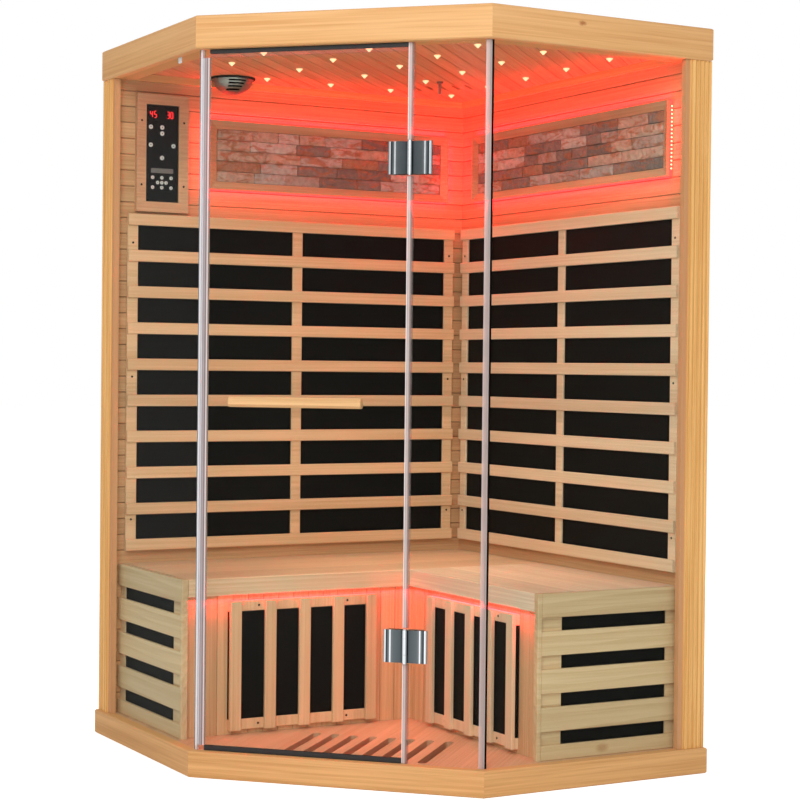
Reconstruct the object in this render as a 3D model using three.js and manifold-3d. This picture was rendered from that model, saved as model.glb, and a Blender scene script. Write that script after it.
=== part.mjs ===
// Corner infrared sauna cabin, in millimetres, +Z up, with the origin under the centre of the plinth.
// The back wall runs along X at +Y, the right wall along Y at +X, and the cut front corner faces -X -Y.
import * as THREE from 'three';
import { mergeVertices } from 'three/addons/utils/BufferGeometryUtils.js';
import Module from 'manifold-3d';

const wasm = await Module();
wasm.setup();

// Cabin: plan squares with one corner cut at 45 degrees. "short" is the side left beside the cut.
const HEIGHT = 1900;
const GAP = 0.3; // between pieces that touch
const PLINTH = { side: 1206, short: 668, height: 65, rim: 28, slab: 38, chamfer: 3 };
const ROOF = { side: 1196, short: 661, fascia: 82, ring: 70, ledge: 40, cover: 8, coverDrop: 2, chamfer: 3 };
const CEILING = { rise: 19, thickness: 15, board: 45, groove: 2.5 };
const VENT = { slots: 5, pitch: 38, first: -58, width: 10, near: 404, far: 490 };
const FLOOR_SLOT = { count: 8, pitch: 51.4, first: -150, width: 23, near: 135, far: 425 };
const POWER_UNIT = { x: [60, 360], y: [300, 480], height: 34, chamfer: 2, glandRadius: 9, glandLength: 18 };
const SPEAKER = { x: -262, y: 463, radius: 58, depth: 46, wall: 3, rim: 4, bowlEnd: -0.12, sides: 32 };
const SPEAKER_SLOT = { count: 4, pitch: 8, height: 4.4, first: -9, left: -32, right: 18, taper: 4, back: -6 };

// Walls, posts and glass, drawn for the back side and mirrored across x = y for the right side
const WALL = { inner: 540, outer: 594, end: -573, groove: 2.5 };
const BOARD = { inside: 44, outside: 88, highest: 1790 };
const POST = { from: 518, faceFrom: 532, to: 598, front: -594, step: 4, flutes: 5, fluteRadius: 4.5 };
const GLASS = { inset: 28, thickness: 8, cornerGap: 10, ease: 1 };

// Wall heaters and their guards: upright stiles with level slats across them
const HEATER = { thickness: 4, margin: 6 };
const GUARD = { bottom: 513, slats: 10, pitch: 100.5, slat: 32, stile: 31, depth: 7, ease: 1.5 };

// Benches: seat with a nosing, upright front, slatted end and a calf heater behind upright slats
const BENCH = { top: 478, seat: 20, nosing: 46, lip: 12, overhang: 15, front: 15, round: 4, ease: 1.5 };
const BENCH_BOARD = { seat: 115, front: 44, groove: 1.5 };
const BENCH_END = { face: -562, slats: 5, pitch: 94, slat: 60, depth: 10, post: 12, stileDepth: 8 };
const BENCH_STILE = { front: 64, wall: 35 };
const CALF = { bottom: 77, top: 416, slats: 5, pitch: 100.5, slat: 32, rail: 28, depth: 10.5, heater: 8 };

// Stone panels in splayed frames
const STONE_FRAME = { bottom: 1529, top: 1725, width: 23, depth: 18, splay: 8 };
const STONE = { courses: 5, backing: 6, joint: 1.5 };
const STONE_LENGTH = { least: 64, spread: 96 };
const STONE_DEPTH = { least: 3, spread: 4 };

// Control panel on the back wall
const PANEL = { x: -444.5, z: 1620.5, width: 97, height: 270, plate: 8, ease: 1 };
const PANEL_FRAME = { width: 28.5, depth: 16, splay: 3 };
const KEY = { stand: 1.7, length: 7.5, clearance: 0.3, chamfer: 0.6, sides: 16 };
const CONTROL_KEY = { radius: 4.5, reach: 34, rows: [73, 56, 23, -12] };
const AUDIO_KEY = { radius: 3.4, column: 27.5, innerColumn: 12.5, row: 13.7, middleRow: -81 };

// Door, in the front's own axes: x along the cut corner, y inwards, z up
const DOOR = { free: -349, hinged: 165, bottom: 78, top: 1797, edgeSeal: 17, sealProud: 2, sweep: 12 };
const HINGE_CENTRES = { upper: 1538, lower: 352 };
const HINGE = { x: 173, height: 80, reach: 55, innerReach: 45, plate: 6.4, web: 1.5, bevel: 5 };
const KNUCKLE = { radius: 7.5, middle: 40, clearance: 0.5, bore: 3.3, sides: 24 };
const HINGE_PIN = { radius: 3, cap: 5.5, capHeight: 2 };
const HANDLE = { from: -272, to: 69, z: 941, height: 25, depth: 22, stand: 34, round: 6, bolts: [-202, -1] };
const HANDLE_BOLT = { radius: 4, stand: 8, hole: 5, cap: 9, capLength: 7 };

// Heights that follow
const FLOOR = PLINTH.height;
const SOFFIT = HEIGHT - ROOF.fascia;
const CEILING_LOW = SOFFIT + CEILING.rise;
const COVER_LOW = HEIGHT - ROOF.cover - ROOF.coverDrop;
const UPRIGHT = [FLOOR + GAP, SOFFIT - GAP];

const WOOD = { outer: '#e6b878', fascia: '#f0c48c', inner: '#cda07d', slat: '#c9ad86', floor: '#cd8264' };
const HARD = { glass: '#dfeeea', seal: '#d9cfd2', black: '#1e1c1a', chrome: '#d8dadc', stone: '#9a6a58' };
const COLOUR = { ...WOOD, ...HARD };

const X_AXIS = new THREE.Vector3(1, 0, 0);
const Y_AXIS = new THREE.Vector3(0, 1, 0);
const Z_AXIS = new THREE.Vector3(0, 0, 1);
const ALONG = {
  x: new THREE.Matrix4().makeBasis(Y_AXIS, Z_AXIS, X_AXIS),
  y: new THREE.Matrix4().makeBasis(Z_AXIS, X_AXIS, Y_AXIS),
  z: new THREE.Matrix4(),
};
const FRONT_TURN = -Math.PI / 4;

// Booleans
function toSolid(geometry) {
  const bare = geometry.clone();
  bare.deleteAttribute('normal');
  bare.deleteAttribute('uv');
  const merged = mergeVertices(bare, 1e-3);
  const vertProperties = merged.getAttribute('position').array;
  const triVerts = new Uint32Array(merged.index.array);
  return new wasm.Manifold(new wasm.Mesh({ numProp: 3, vertProperties, triVerts }));
}

function toGeometry(solid) {
  const mesh = solid.getMesh();
  const geometry = new THREE.BufferGeometry();
  geometry.setAttribute('position', new THREE.BufferAttribute(mesh.vertProperties, 3));
  geometry.setIndex(new THREE.BufferAttribute(mesh.triVerts, 1));
  geometry.computeVertexNormals();
  return geometry;
}

function join(...geometries) {
  return toGeometry(geometries.map(toSolid).reduce((whole, piece) => whole.add(piece)));
}

function cut(geometry, ...tools) {
  return toGeometry(tools.map(toSolid).reduce((left, tool) => left.subtract(tool), toSolid(geometry)));
}

function common(first, second) {
  return toGeometry(toSolid(first).intersect(toSolid(second)));
}

// Shapes
function outline(points) {
  return new THREE.Shape(points.map(([x, y]) => new THREE.Vector2(x, y)));
}

function eased([u0, u1], [v0, v1], ease) {
  return outline([
    [u0 + ease, v0],
    [u1 - ease, v0],
    [u1, v0 + ease],
    [u1, v1 - ease],
    [u1 - ease, v1],
    [u0 + ease, v1],
    [u0, v1 - ease],
    [u0, v0 + ease],
  ]);
}

// A length of a section, which is drawn in (y, z) to run along x, (z, x) along y and (x, y) along z.
function run(section, axis, [from, to]) {
  const options = { depth: to - from, bevelEnabled: false, curveSegments: 5 };
  return new THREE.ExtrudeGeometry(section, options).translate(0, 0, from).applyMatrix4(ALONG[axis]);
}

function prism(points, [low, high], chamfer) {
  const options = {
    depth: high - low - 2 * chamfer,
    bevelThickness: chamfer,
    bevelSize: chamfer,
    bevelOffset: -chamfer,
    bevelSegments: 1,
    bevelEnabled: chamfer > 0,
  };
  return new THREE.ExtrudeGeometry(outline(points), options).translate(0, 0, low + chamfer);
}

function box([x0, x1], [y0, y1], [z0, z1]) {
  const geometry = new THREE.BoxGeometry(x1 - x0, y1 - y0, z1 - z0);
  return geometry.translate((x0 + x1) / 2, (y0 + y1) / 2, (z0 + z1) / 2);
}

function rod(axis, radius, [a, b], [from, to], sides) {
  const section = new THREE.Shape().absarc(a, b, radius, 0, 2 * Math.PI);
  const options = { depth: to - from, bevelEnabled: false, curveSegments: sides };
  return new THREE.ExtrudeGeometry(section, options).translate(0, 0, from).applyMatrix4(ALONG[axis]);
}

// A slot with round ends, in the front's axes: x is its middle line, and it runs from near to far along y.
function slotCutter(x, width, [near, far], heights) {
  const radius = width / 2;
  const section = new THREE.Shape();
  section.absarc(x, near + radius, radius, -Math.PI, 0);
  section.absarc(x, far - radius, radius, 0, Math.PI);
  return run(section, 'z', heights).rotateZ(FRONT_TURN);
}

// Corners of the cabin's plan, moved inwards by an inset.
function plan({ side, short }, inset) {
  const half = side / 2 - inset;
  const reach = short - inset * Math.SQRT2;
  return [
    [half, half],
    [-half, half],
    [-half, half - reach],
    [half - reach, -half],
    [half, -half],
  ];
}

// A picture frame with mitred corners. Its profile holds [distance in from the outer edge, y] pairs.
function mitredFrame([x0, x1], [z0, z1], profile) {
  const corners = [[x0, z0, 1, 1], [x1, z0, -1, 1], [x1, z1, -1, -1], [x0, z1, 1, -1]];
  const positions = corners.flatMap(([x, z, inX, inZ]) =>
    profile.flatMap(([inwards, y]) => [x + inX * inwards, y, z + inZ * inwards]));
  const count = profile.length;
  const index = [];
  for (let corner = 0; corner < 4; corner++) {
    for (let point = 0; point < count; point++) {
      const [here, next] = [corner * count, ((corner + 1) % 4) * count];
      const following = (point + 1) % count;
      index.push(here + point, next + point, next + following);
      index.push(here + point, next + following, here + following);
    }
  }
  const geometry = new THREE.BufferGeometry();
  geometry.setAttribute('position', new THREE.Float32BufferAttribute(positions, 3));
  geometry.setIndex(index);
  geometry.computeVertexNormals();
  return geometry;
}

// A number from 0 to 1 that looks random and is the same in every run.
function scatter(seed) {
  const value = Math.sin(seed * 12.9898) * 43758.5453;
  return value - Math.floor(value);
}

const cabin = new THREE.Group();
const backSide = new THREE.Group();
const rightSide = new THREE.Group();
rightSide.applyMatrix4(new THREE.Matrix4().makeBasis(Y_AXIS, X_AXIS, Z_AXIS));
const front = new THREE.Group();
front.rotation.z = FRONT_TURN;
cabin.add(backSide, rightSide, front);

function add(group, name, geometry, color, roughness, metalness = 0) {
  const mesh = new THREE.Mesh(geometry, new THREE.MeshStandardMaterial({ color, roughness, metalness }));
  mesh.name = name;
  group.add(mesh);
}

// Plinth and floor
function addFloor() {
  const recess = prism(plan(PLINTH, PLINTH.rim), [PLINTH.slab, FLOOR + 1], 0);
  const tray = cut(prism(plan(PLINTH, 0), [0, FLOOR], PLINTH.chamfer), recess);
  add(cabin, 'base_tray', tray, COLOUR.outer, 0.6);

  const slots = [];
  for (let i = 0; i < FLOOR_SLOT.count; i++) {
    const x = FLOOR_SLOT.first + i * FLOOR_SLOT.pitch;
    const span = [-FLOOR_SLOT.far, -FLOOR_SLOT.near];
    slots.push(slotCutter(x, FLOOR_SLOT.width, span, [PLINTH.slab, FLOOR + 1]));
  }
  const boards = prism(plan(PLINTH, PLINTH.rim + GAP), [PLINTH.slab + GAP, FLOOR], 0);
  add(cabin, 'floor_panel', cut(boards, ...slots), COLOUR.floor, 0.6);
}

// Roof: fascia ring, ceiling boards with vent slots, power unit and cover
function addRoof() {
  const opening = prism(plan(ROOF, ROOF.ring), [SOFFIT - 1, HEIGHT + 1], 0);
  const rebate = prism(plan(ROOF, ROOF.ledge), [COVER_LOW, HEIGHT + 1], 0);
  const fascia = cut(prism(plan(ROOF, 0), [SOFFIT, HEIGHT], ROOF.chamfer), opening, rebate);
  add(cabin, 'roof_fascia', fascia, COLOUR.fascia, 0.55);

  const ceilingTop = CEILING_LOW + CEILING.thickness;
  const reach = ROOF.side;
  const underside = [];
  for (let x = -reach; x <= reach; x += CEILING.board) {
    underside.push([CEILING_LOW, x - CEILING.groove]);
    underside.push([CEILING_LOW + CEILING.groove, x]);
    underside.push([CEILING_LOW, x + CEILING.groove]);
  }
  const last = underside.at(-1)[1];
  const section = outline([[ceilingTop, last], [ceilingTop, underside[0][1]], ...underside]);
  const boards = run(section, 'y', [-reach, reach]).rotateZ(FRONT_TURN);
  const sheet = common(boards, prism(plan(ROOF, ROOF.ring + GAP), [CEILING_LOW - 1, ceilingTop + 1], 0));
  const vents = [];
  for (let i = 0; i < VENT.slots; i++) {
    const heights = [CEILING_LOW - 1, ceilingTop + 1];
    vents.push(slotCutter(VENT.first + i * VENT.pitch, VENT.width, [VENT.near, VENT.far], heights));
  }
  add(cabin, 'ceiling_panel', cut(sheet, ...vents), COLOUR.inner, 0.6);

  const unitLow = ceilingTop + GAP;
  const unitHigh = unitLow + POWER_UNIT.height;
  const [unitX, unitY] = [POWER_UNIT.x, POWER_UNIT.y];
  const corners = [[unitX[1], unitY[1]], [unitX[0], unitY[1]], [unitX[0], unitY[0]], [unitX[1], unitY[0]]];
  const casing = prism(corners, [unitLow, unitHigh], POWER_UNIT.chamfer);
  const glandPlace = [unitLow + POWER_UNIT.height / 2, (unitX[0] + unitX[1]) / 2];
  const glandSpan = [unitY[0] - POWER_UNIT.glandLength, unitY[0] + 1];
  const gland = rod('y', POWER_UNIT.glandRadius, glandPlace, glandSpan, 12);
  add(cabin, 'power_unit', join(casing, gland), COLOUR.black, 0.5);

  const cover = prism(plan(ROOF, ROOF.ledge + GAP), [COVER_LOW + GAP, COVER_LOW + ROOF.cover], 0);
  add(cabin, 'roof_cover', cover, COLOUR.outer, 0.7);
}

function addSpeaker() {
  const { radius, depth, wall, rim, bowlEnd } = SPEAKER;
  const bowl = (r, d) => new THREE.EllipseCurve(0, 0, r, d, -Math.PI / 2, bowlEnd).getPoints(9);
  const outside = bowl(radius, depth);
  const inside = bowl(radius - wall, depth - wall).reverse();
  outside[0].x = 0;
  inside.at(-1).x = 0;
  const edge = [
    new THREE.Vector2(radius + rim, -rim),
    new THREE.Vector2(radius + rim, 0),
    new THREE.Vector2(radius - wall, 0),
  ];
  const profile = [...outside, ...edge, ...inside];
  const dome = new THREE.LatheGeometry(profile, SPEAKER.sides).rotateX(Math.PI / 2);
  const slots = [];
  for (let i = 0; i < SPEAKER_SLOT.count; i++) {
    const low = SPEAKER_SLOT.first - i * SPEAKER_SLOT.pitch;
    const across = [SPEAKER_SLOT.left + i, SPEAKER_SLOT.right - i * SPEAKER_SLOT.taper];
    slots.push(box(across, [-radius - rim, SPEAKER_SLOT.back], [low - SPEAKER_SLOT.height, low]));
  }
  const speaker = cut(dome, ...slots).translate(SPEAKER.x, SPEAKER.y, CEILING_LOW - GAP);
  add(cabin, 'speaker', speaker, COLOUR.chrome, 0.35, 0.8);
}

// Notches of a boarded face at y, cut towards the wall's middle by depth, at the heights given.
function boardJoints(y, depth, heights) {
  const half = Math.abs(depth);
  return heights.flatMap((z) => [[y, z - half], [y + depth, z], [y, z + half]]);
}

function addWall(side) {
  const [low, high] = UPRIGHT;
  const levels = (pitch) => {
    const heights = [];
    for (let z = BOARD.highest; z > low + pitch / 2; z -= pitch) heights.push(z);
    return heights;
  };
  const outside = boardJoints(WALL.outer, -WALL.groove, levels(BOARD.outside).reverse());
  const inside = boardJoints(WALL.inner, WALL.groove, levels(BOARD.inside).reverse()).reverse();
  const bottom = [[WALL.inner, low], [WALL.outer, low]];
  const top = [[WALL.outer, high], [WALL.inner, high]];
  const section = outline([...bottom, ...outside, ...top, ...inside]);
  const wall = run(section, 'x', [WALL.end, side.wallEnd]);
  add(side.group, `${side.wall}_wall`, wall, COLOUR.inner, 0.6);
}

function addPost(side) {
  const back = WALL.end - GAP;
  const face = POST.front;
  const pitch = (POST.to - POST.faceFrom) / POST.flutes;
  const section = new THREE.Shape();
  section.moveTo(back, POST.from);
  section.lineTo(back, POST.to);
  section.lineTo(face, POST.to);
  for (let i = 0; i < POST.flutes; i++) {
    const middle = POST.to - (i + 0.5) * pitch;
    section.absarc(face, middle, POST.fluteRadius, Math.PI / 2, -Math.PI / 2, true);
  }
  section.lineTo(face, POST.faceFrom);
  section.lineTo(face + POST.step, POST.faceFrom);
  section.lineTo(face + POST.step, POST.from);
  add(side.group, `${side.end}_post`, run(section, 'z', UPRIGHT), COLOUR.outer, 0.5);
}

function addSideGlass(side) {
  const outer = -(PLINTH.side / 2 - GLASS.inset);
  const corner = plan(PLINTH, GLASS.inset)[2][1];
  const ends = [corner + GLASS.cornerGap, POST.from - GAP];
  const section = eased([outer, outer + GLASS.thickness], ends, GLASS.ease);
  add(side.group, `${side.end}_glass`, run(section, 'z', UPRIGHT), COLOUR.glass, 0.05);
}

function addWallHeater(side) {
  const [from, to] = side.guard;
  const high = GUARD.bottom + (GUARD.slats - 1) * GUARD.pitch + GUARD.slat;
  const heaterFront = WALL.inner - GAP - HEATER.thickness;
  const heaterX = [from + HEATER.margin, to - HEATER.margin];
  const heaterZ = [GUARD.bottom + HEATER.margin, high - HEATER.margin];
  const heater = box(heaterX, [heaterFront, WALL.inner - GAP], heaterZ);
  add(side.group, `${side.wall}_heater`, heater, COLOUR.black, 0.7);

  const stileY = [heaterFront - GAP - GUARD.depth, heaterFront - GAP];
  const slatY = [stileY[0] - GUARD.depth, stileY[0] + GAP];
  const middle = (from + to - GUARD.stile) / 2;
  const stiles = [from, middle, to - GUARD.stile].map((x) =>
    run(eased([x, x + GUARD.stile], stileY, GUARD.ease), 'z', [GUARD.bottom, high]));
  const slats = [];
  for (let i = 0; i < GUARD.slats; i++) {
    const z = GUARD.bottom + i * GUARD.pitch;
    slats.push(run(eased(slatY, [z, z + GUARD.slat], GUARD.ease), 'x', [from, to]));
  }
  add(side.group, `${side.wall}_heater_guard`, join(...stiles, ...slats), COLOUR.inner, 0.6);
}

function addStone(side) {
  const [from, to] = side.stone;
  const back = WALL.inner - GAP;
  const face = back - STONE_FRAME.depth;
  const { width, splay } = STONE_FRAME;
  const profile = [[0, face], [width, face + splay], [width, back], [0, back]];
  const frame = mitredFrame([from, to], [STONE_FRAME.bottom, STONE_FRAME.top], profile);
  add(side.group, `${side.wall}_stone_frame`, frame, COLOUR.inner, 0.55);

  const inset = STONE_FRAME.width + GAP;
  const [x0, x1] = [from + inset, to - inset];
  const [z0, z1] = [STONE_FRAME.bottom + inset, STONE_FRAME.top - inset];
  const backing = back - STONE.backing;
  const stones = [box([x0, x1], [backing, back], [z0, z1])];
  const course = (z1 - z0) / STONE.courses;
  for (let row = 0; row < STONE.courses; row++) {
    const seed = side.seed + row * 17;
    const heights = [z0 + row * course + STONE.joint, z0 + (row + 1) * course];
    let x = x0 + STONE.joint;
    for (let i = 0; x < x1 - STONE.joint; i++) {
      let end = x + STONE_LENGTH.least + STONE_LENGTH.spread * scatter(seed + i);
      if (end > x1 - STONE_LENGTH.least) end = x1;
      const depth = STONE_DEPTH.least + STONE_DEPTH.spread * scatter(seed + i + 0.5);
      stones.push(box([x, end - STONE.joint], [backing - depth, backing + GAP], heights));
      x = end;
    }
  }
  add(side.group, `${side.wall}_stone`, join(...stones), COLOUR.stone, 0.85);
}

// A slab with a rounded upper front edge and a groove at each board joint, drawn in (y, z) to run along x.
function nosingSection([y0, y1], [z0, z1]) {
  const { groove } = BENCH_BOARD;
  const section = new THREE.Shape();
  section.moveTo(y0, z0);
  section.lineTo(y1, z0);
  section.lineTo(y1, z1);
  for (let y = y1 - BENCH_BOARD.seat; y > y0 + BENCH.lip; y -= BENCH_BOARD.seat) {
    section.lineTo(y + groove, z1);
    section.lineTo(y, z1 - groove);
    section.lineTo(y - groove, z1);
  }
  section.absarc(y0 + BENCH.round, z1 - BENCH.round, BENCH.round, Math.PI / 2, Math.PI);
  return section;
}

function addBench(side) {
  const end = BENCH_END.face + BENCH_END.depth + BENCH_END.stileDepth + GAP;
  const { nosing } = side;
  const back = WALL.inner - GAP;
  const seatLow = BENCH.top - BENCH.seat;
  const board = run(nosingSection([nosing, back], [seatLow, BENCH.top]), 'x', [end, side.seatEnd]);
  const lipHeights = [BENCH.top - BENCH.nosing, BENCH.top];
  const lip = run(nosingSection([nosing, nosing + BENCH.lip], lipHeights), 'x', [end, side.lipEnd]);
  add(side.group, `${side.wall}_seat`, join(board, lip), COLOUR.slat, 0.55);

  const panel = nosing + BENCH.overhang;
  const { groove } = BENCH_BOARD;
  const face = [[end, panel]];
  for (let x = end + BENCH_BOARD.front; x < side.frontEnd - groove; x += BENCH_BOARD.front) {
    face.push([x - groove, panel], [x, panel + groove], [x + groove, panel]);
  }
  face.push([side.frontEnd, panel], [side.frontEnd, panel + BENCH.front], [end, panel + BENCH.front]);
  const frontBoards = run(outline(face), 'z', [FLOOR + GAP, seatLow - GAP]);
  add(side.group, `${side.wall}_bench_front`, frontBoards, COLOUR.inner, 0.6);
}

function addBenchEnd(side) {
  const slatX = [BENCH_END.face, BENCH_END.face + BENCH_END.depth];
  const stileX = [slatX[1] - GAP, slatX[1] + BENCH_END.stileDepth];
  const slatY = [side.nosing + BENCH_END.post, WALL.inner - GAP];
  const heights = [FLOOR + GAP, BENCH.top];
  const post = run(eased([slatX[0], stileX[1]], [side.nosing, slatY[0] + GAP], BENCH.ease), 'z', heights);
  const stileSpans = [[slatY[0], slatY[0] + BENCH_STILE.front], [slatY[1] - BENCH_STILE.wall, slatY[1]]];
  const stiles = stileSpans.map((span) => box(stileX, span, heights));
  const slats = [];
  for (let i = 0; i < BENCH_END.slats; i++) {
    const high = BENCH.top - i * BENCH_END.pitch;
    const low = Math.max(high - BENCH_END.slat, heights[0]);
    slats.push(run(eased([low, high], slatX, BENCH.ease), 'y', slatY));
  }
  add(side.group, `${side.end}_bench_end`, join(post, ...stiles, ...slats), COLOUR.slat, 0.6);
}

function addCalfHeater(side) {
  const panel = side.nosing + BENCH.overhang - GAP;
  const railY = [panel - CALF.depth, panel];
  const slatY = [railY[0] - CALF.depth, railY[0] + GAP];
  const from = side.calf;
  const to = from + (CALF.slats - 1) * CALF.pitch + CALF.slat;
  const rails = [CALF.bottom, CALF.top - CALF.rail].map((z) =>
    run(eased(railY, [z, z + CALF.rail], BENCH.ease), 'x', [from, to]));
  const slats = [];
  for (let i = 0; i < CALF.slats; i++) {
    const x = from + i * CALF.pitch;
    slats.push(run(eased([x, x + CALF.slat], slatY, BENCH.ease), 'z', [CALF.bottom, CALF.top]));
  }
  add(side.group, `${side.wall}_calf_guard`, join(...rails, ...slats), COLOUR.slat, 0.6);

  const heaterZ = [CALF.bottom + CALF.rail + GAP, CALF.top - CALF.rail - GAP];
  const heater = box([from + GAP, to - GAP], [panel - CALF.heater, panel], heaterZ);
  add(side.group, `${side.wall}_calf_heater`, heater, COLOUR.black, 0.7);
}

// Middles of the keys from the plate's middle, as [x, z]
function keyPlaces() {
  const { reach } = CONTROL_KEY;
  const [top, upper, middle, low] = CONTROL_KEY.rows;
  const control = [[-reach, top], [0, top], [0, upper], [-reach, middle], [reach, middle], [0, low]];
  const { column, innerColumn, row, middleRow } = AUDIO_KEY;
  const audio = [];
  for (const [rise, step] of [[row, column], [0, innerColumn], [-row, column]]) {
    for (const place of [-1, 0, 1]) audio.push([place * step, middleRow + rise]);
  }
  return { control, audio };
}

function addControlPanel() {
  const back = WALL.inner - GAP;
  const face = back - PANEL.plate;
  const [x0, x1] = [PANEL.x - PANEL.width / 2, PANEL.x + PANEL.width / 2];
  const [z0, z1] = [PANEL.z - PANEL.height / 2, PANEL.z + PANEL.height / 2];
  const frameFace = back - PANEL_FRAME.depth;
  const { width, splay } = PANEL_FRAME;
  const profile = [[0, frameFace], [width, frameFace + splay], [width, back], [0, back]];
  const rim = PANEL_FRAME.width + GAP;
  const frame = mitredFrame([x0 - rim, x1 + rim], [z0 - rim, z1 + rim], profile);
  add(backSide, 'control_frame', frame, COLOUR.inner, 0.55);

  const { control, audio } = keyPlaces();
  const keys = [
    ...control.map((place, i) => ({ name: `control_key_${i + 1}`, place, radius: CONTROL_KEY.radius })),
    ...audio.map((place, i) => ({ name: `audio_key_${i + 1}`, place, radius: AUDIO_KEY.radius })),
  ];
  const sheet = eased([z0, z1], [x0, x1], PANEL.ease);
  for (const { place, radius } of keys) {
    const hole = new THREE.Path();
    hole.absarc(PANEL.z + place[1], PANEL.x + place[0], radius + KEY.clearance, 0, 2 * Math.PI, true);
    sheet.holes.push(hole);
  }
  const options = { depth: PANEL.plate, bevelEnabled: false, curveSegments: KEY.sides };
  const plate = new THREE.ExtrudeGeometry(sheet, options).translate(0, 0, face).applyMatrix4(ALONG.y);
  add(backSide, 'control_plate', plate, COLOUR.black, 0.15);

  for (const { name, place, radius } of keys) {
    const cap = [[0, 0], [radius - KEY.chamfer, 0], [radius, KEY.chamfer]];
    const rounds = [...cap, [radius, KEY.length], [0, KEY.length]];
    const key = new THREE.LatheGeometry(rounds.map(([r, y]) => new THREE.Vector2(r, y)), KEY.sides);
    key.translate(PANEL.x + place[0], face - KEY.stand, PANEL.z + place[1]);
    add(backSide, name, key, COLOUR.chrome, 0.35, 0.6);
  }
}

// The front: glass faces in its own axes
const FRONT_FACE = -(PLINTH.short / Math.SQRT2 - GLASS.inset);
const FRONT_BACK = FRONT_FACE + GLASS.thickness;
const [CORNER_X, CORNER_Y] = plan(PLINTH, GLASS.inset)[3];
const FRONT_HALF = (CORNER_X - CORNER_Y) / Math.SQRT2;

function addFrontGlass() {
  const fixedEnd = FRONT_HALF - GLASS.cornerGap;
  const fixedStart = 2 * HINGE.x - DOOR.hinged;
  const fixed = eased([fixedStart, fixedEnd], [FRONT_FACE, FRONT_BACK], GLASS.ease);
  add(front, 'front_glass', run(fixed, 'z', UPRIGHT), COLOUR.glass, 0.05);

  const middle = new THREE.Vector2();
  const onFront = (along, y) => new THREE.Vector2(along, y).rotateAround(middle, FRONT_TURN).toArray();
  const proud = DOOR.sealProud;
  const outerInset = GLASS.inset - proud;
  const innerInset = GLASS.inset + GLASS.thickness + proud;
  const rightStart = CORNER_X + GLASS.cornerGap - GAP;
  const seal = [
    onFront(fixedEnd + GAP, FRONT_FACE - proud),
    plan(PLINTH, outerInset)[3],
    [rightStart, -(PLINTH.side / 2 - outerInset)],
    [rightStart, -(PLINTH.side / 2 - innerInset)],
    plan(PLINTH, innerInset)[3],
    onFront(fixedEnd + GAP, FRONT_BACK + proud),
  ];
  add(cabin, 'corner_seal', prism(seal, UPRIGHT, 0), COLOUR.seal, 0.2);
}

function addDoor() {
  const heights = [DOOR.bottom, DOOR.top];
  const pane = run(eased([DOOR.free, DOOR.hinged], [FRONT_FACE, FRONT_BACK], GLASS.ease), 'z', heights);
  const holes = HANDLE.bolts.map((x) =>
    rod('y', HANDLE_BOLT.hole, [HANDLE.z, x], [FRONT_FACE - 1, FRONT_BACK + 1], 16));
  add(front, 'door_glass', cut(pane, ...holes), COLOUR.glass, 0.05);

  const sealY = [FRONT_FACE - DOOR.sealProud, FRONT_BACK + DOOR.sealProud];
  const edgeX = [DOOR.free - DOOR.edgeSeal, DOOR.free - GAP];
  add(front, 'door_edge_seal', run(eased(edgeX, sealY, GLASS.ease), 'z', heights), COLOUR.seal, 0.2);
  const sweep = eased(sealY, [DOOR.bottom - DOOR.sweep, DOOR.bottom - GAP], GLASS.ease);
  add(front, 'door_bottom_seal', run(sweep, 'x', [DOOR.free, DOOR.hinged]), COLOUR.black, 0.8);

  const barFace = FRONT_FACE - HANDLE.stand - HANDLE.depth;
  const barY = [barFace, barFace + HANDLE.depth];
  const barZ = [HANDLE.z - HANDLE.height / 2, HANDLE.z + HANDLE.height / 2];
  const bar = run(eased(barY, barZ, HANDLE.round), 'x', [HANDLE.from, HANDLE.to]);
  const fixings = HANDLE.bolts.flatMap((x) => [
    rod('y', HANDLE_BOLT.stand, [HANDLE.z, x], [barY[1] - 1, FRONT_FACE - GAP], 16),
    rod('y', HANDLE_BOLT.radius, [HANDLE.z, x], [barY[1] - 1, FRONT_BACK + 1], 16),
    rod('y', HANDLE_BOLT.cap, [HANDLE.z, x], [FRONT_BACK + GAP, FRONT_BACK + HANDLE_BOLT.capLength], 16),
  ]);
  add(front, 'door_handle', join(bar, ...fixings), COLOUR.fascia, 0.5);
}

// A leaf holds a pane's edge between two plates. It is drawn for the fixed pane; hand is -1 for the door.
function hingeLeaf(hand, [low, high]) {
  const face = FRONT_FACE - GAP - HINGE.plate;
  const edge = DOOR.hinged - HINGE.x;
  const { web, bevel } = HINGE;
  const inside = FRONT_BACK + GAP;
  const points = [
    [web, face],
    [HINGE.reach - bevel, face],
    [HINGE.reach, face + bevel / 2],
    [HINGE.reach, FRONT_FACE - GAP],
    [-edge - GAP, FRONT_FACE - GAP],
    [-edge - GAP, inside],
    [HINGE.innerReach, inside],
    [HINGE.innerReach, inside + HINGE.plate / 2],
    [HINGE.innerReach - bevel, inside + HINGE.plate],
    [web, inside + HINGE.plate],
  ].map(([x, y]) => [HINGE.x + hand * x, y]);
  if (hand < 0) points.reverse();
  return run(outline(points), 'z', [low, high]);
}

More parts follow.
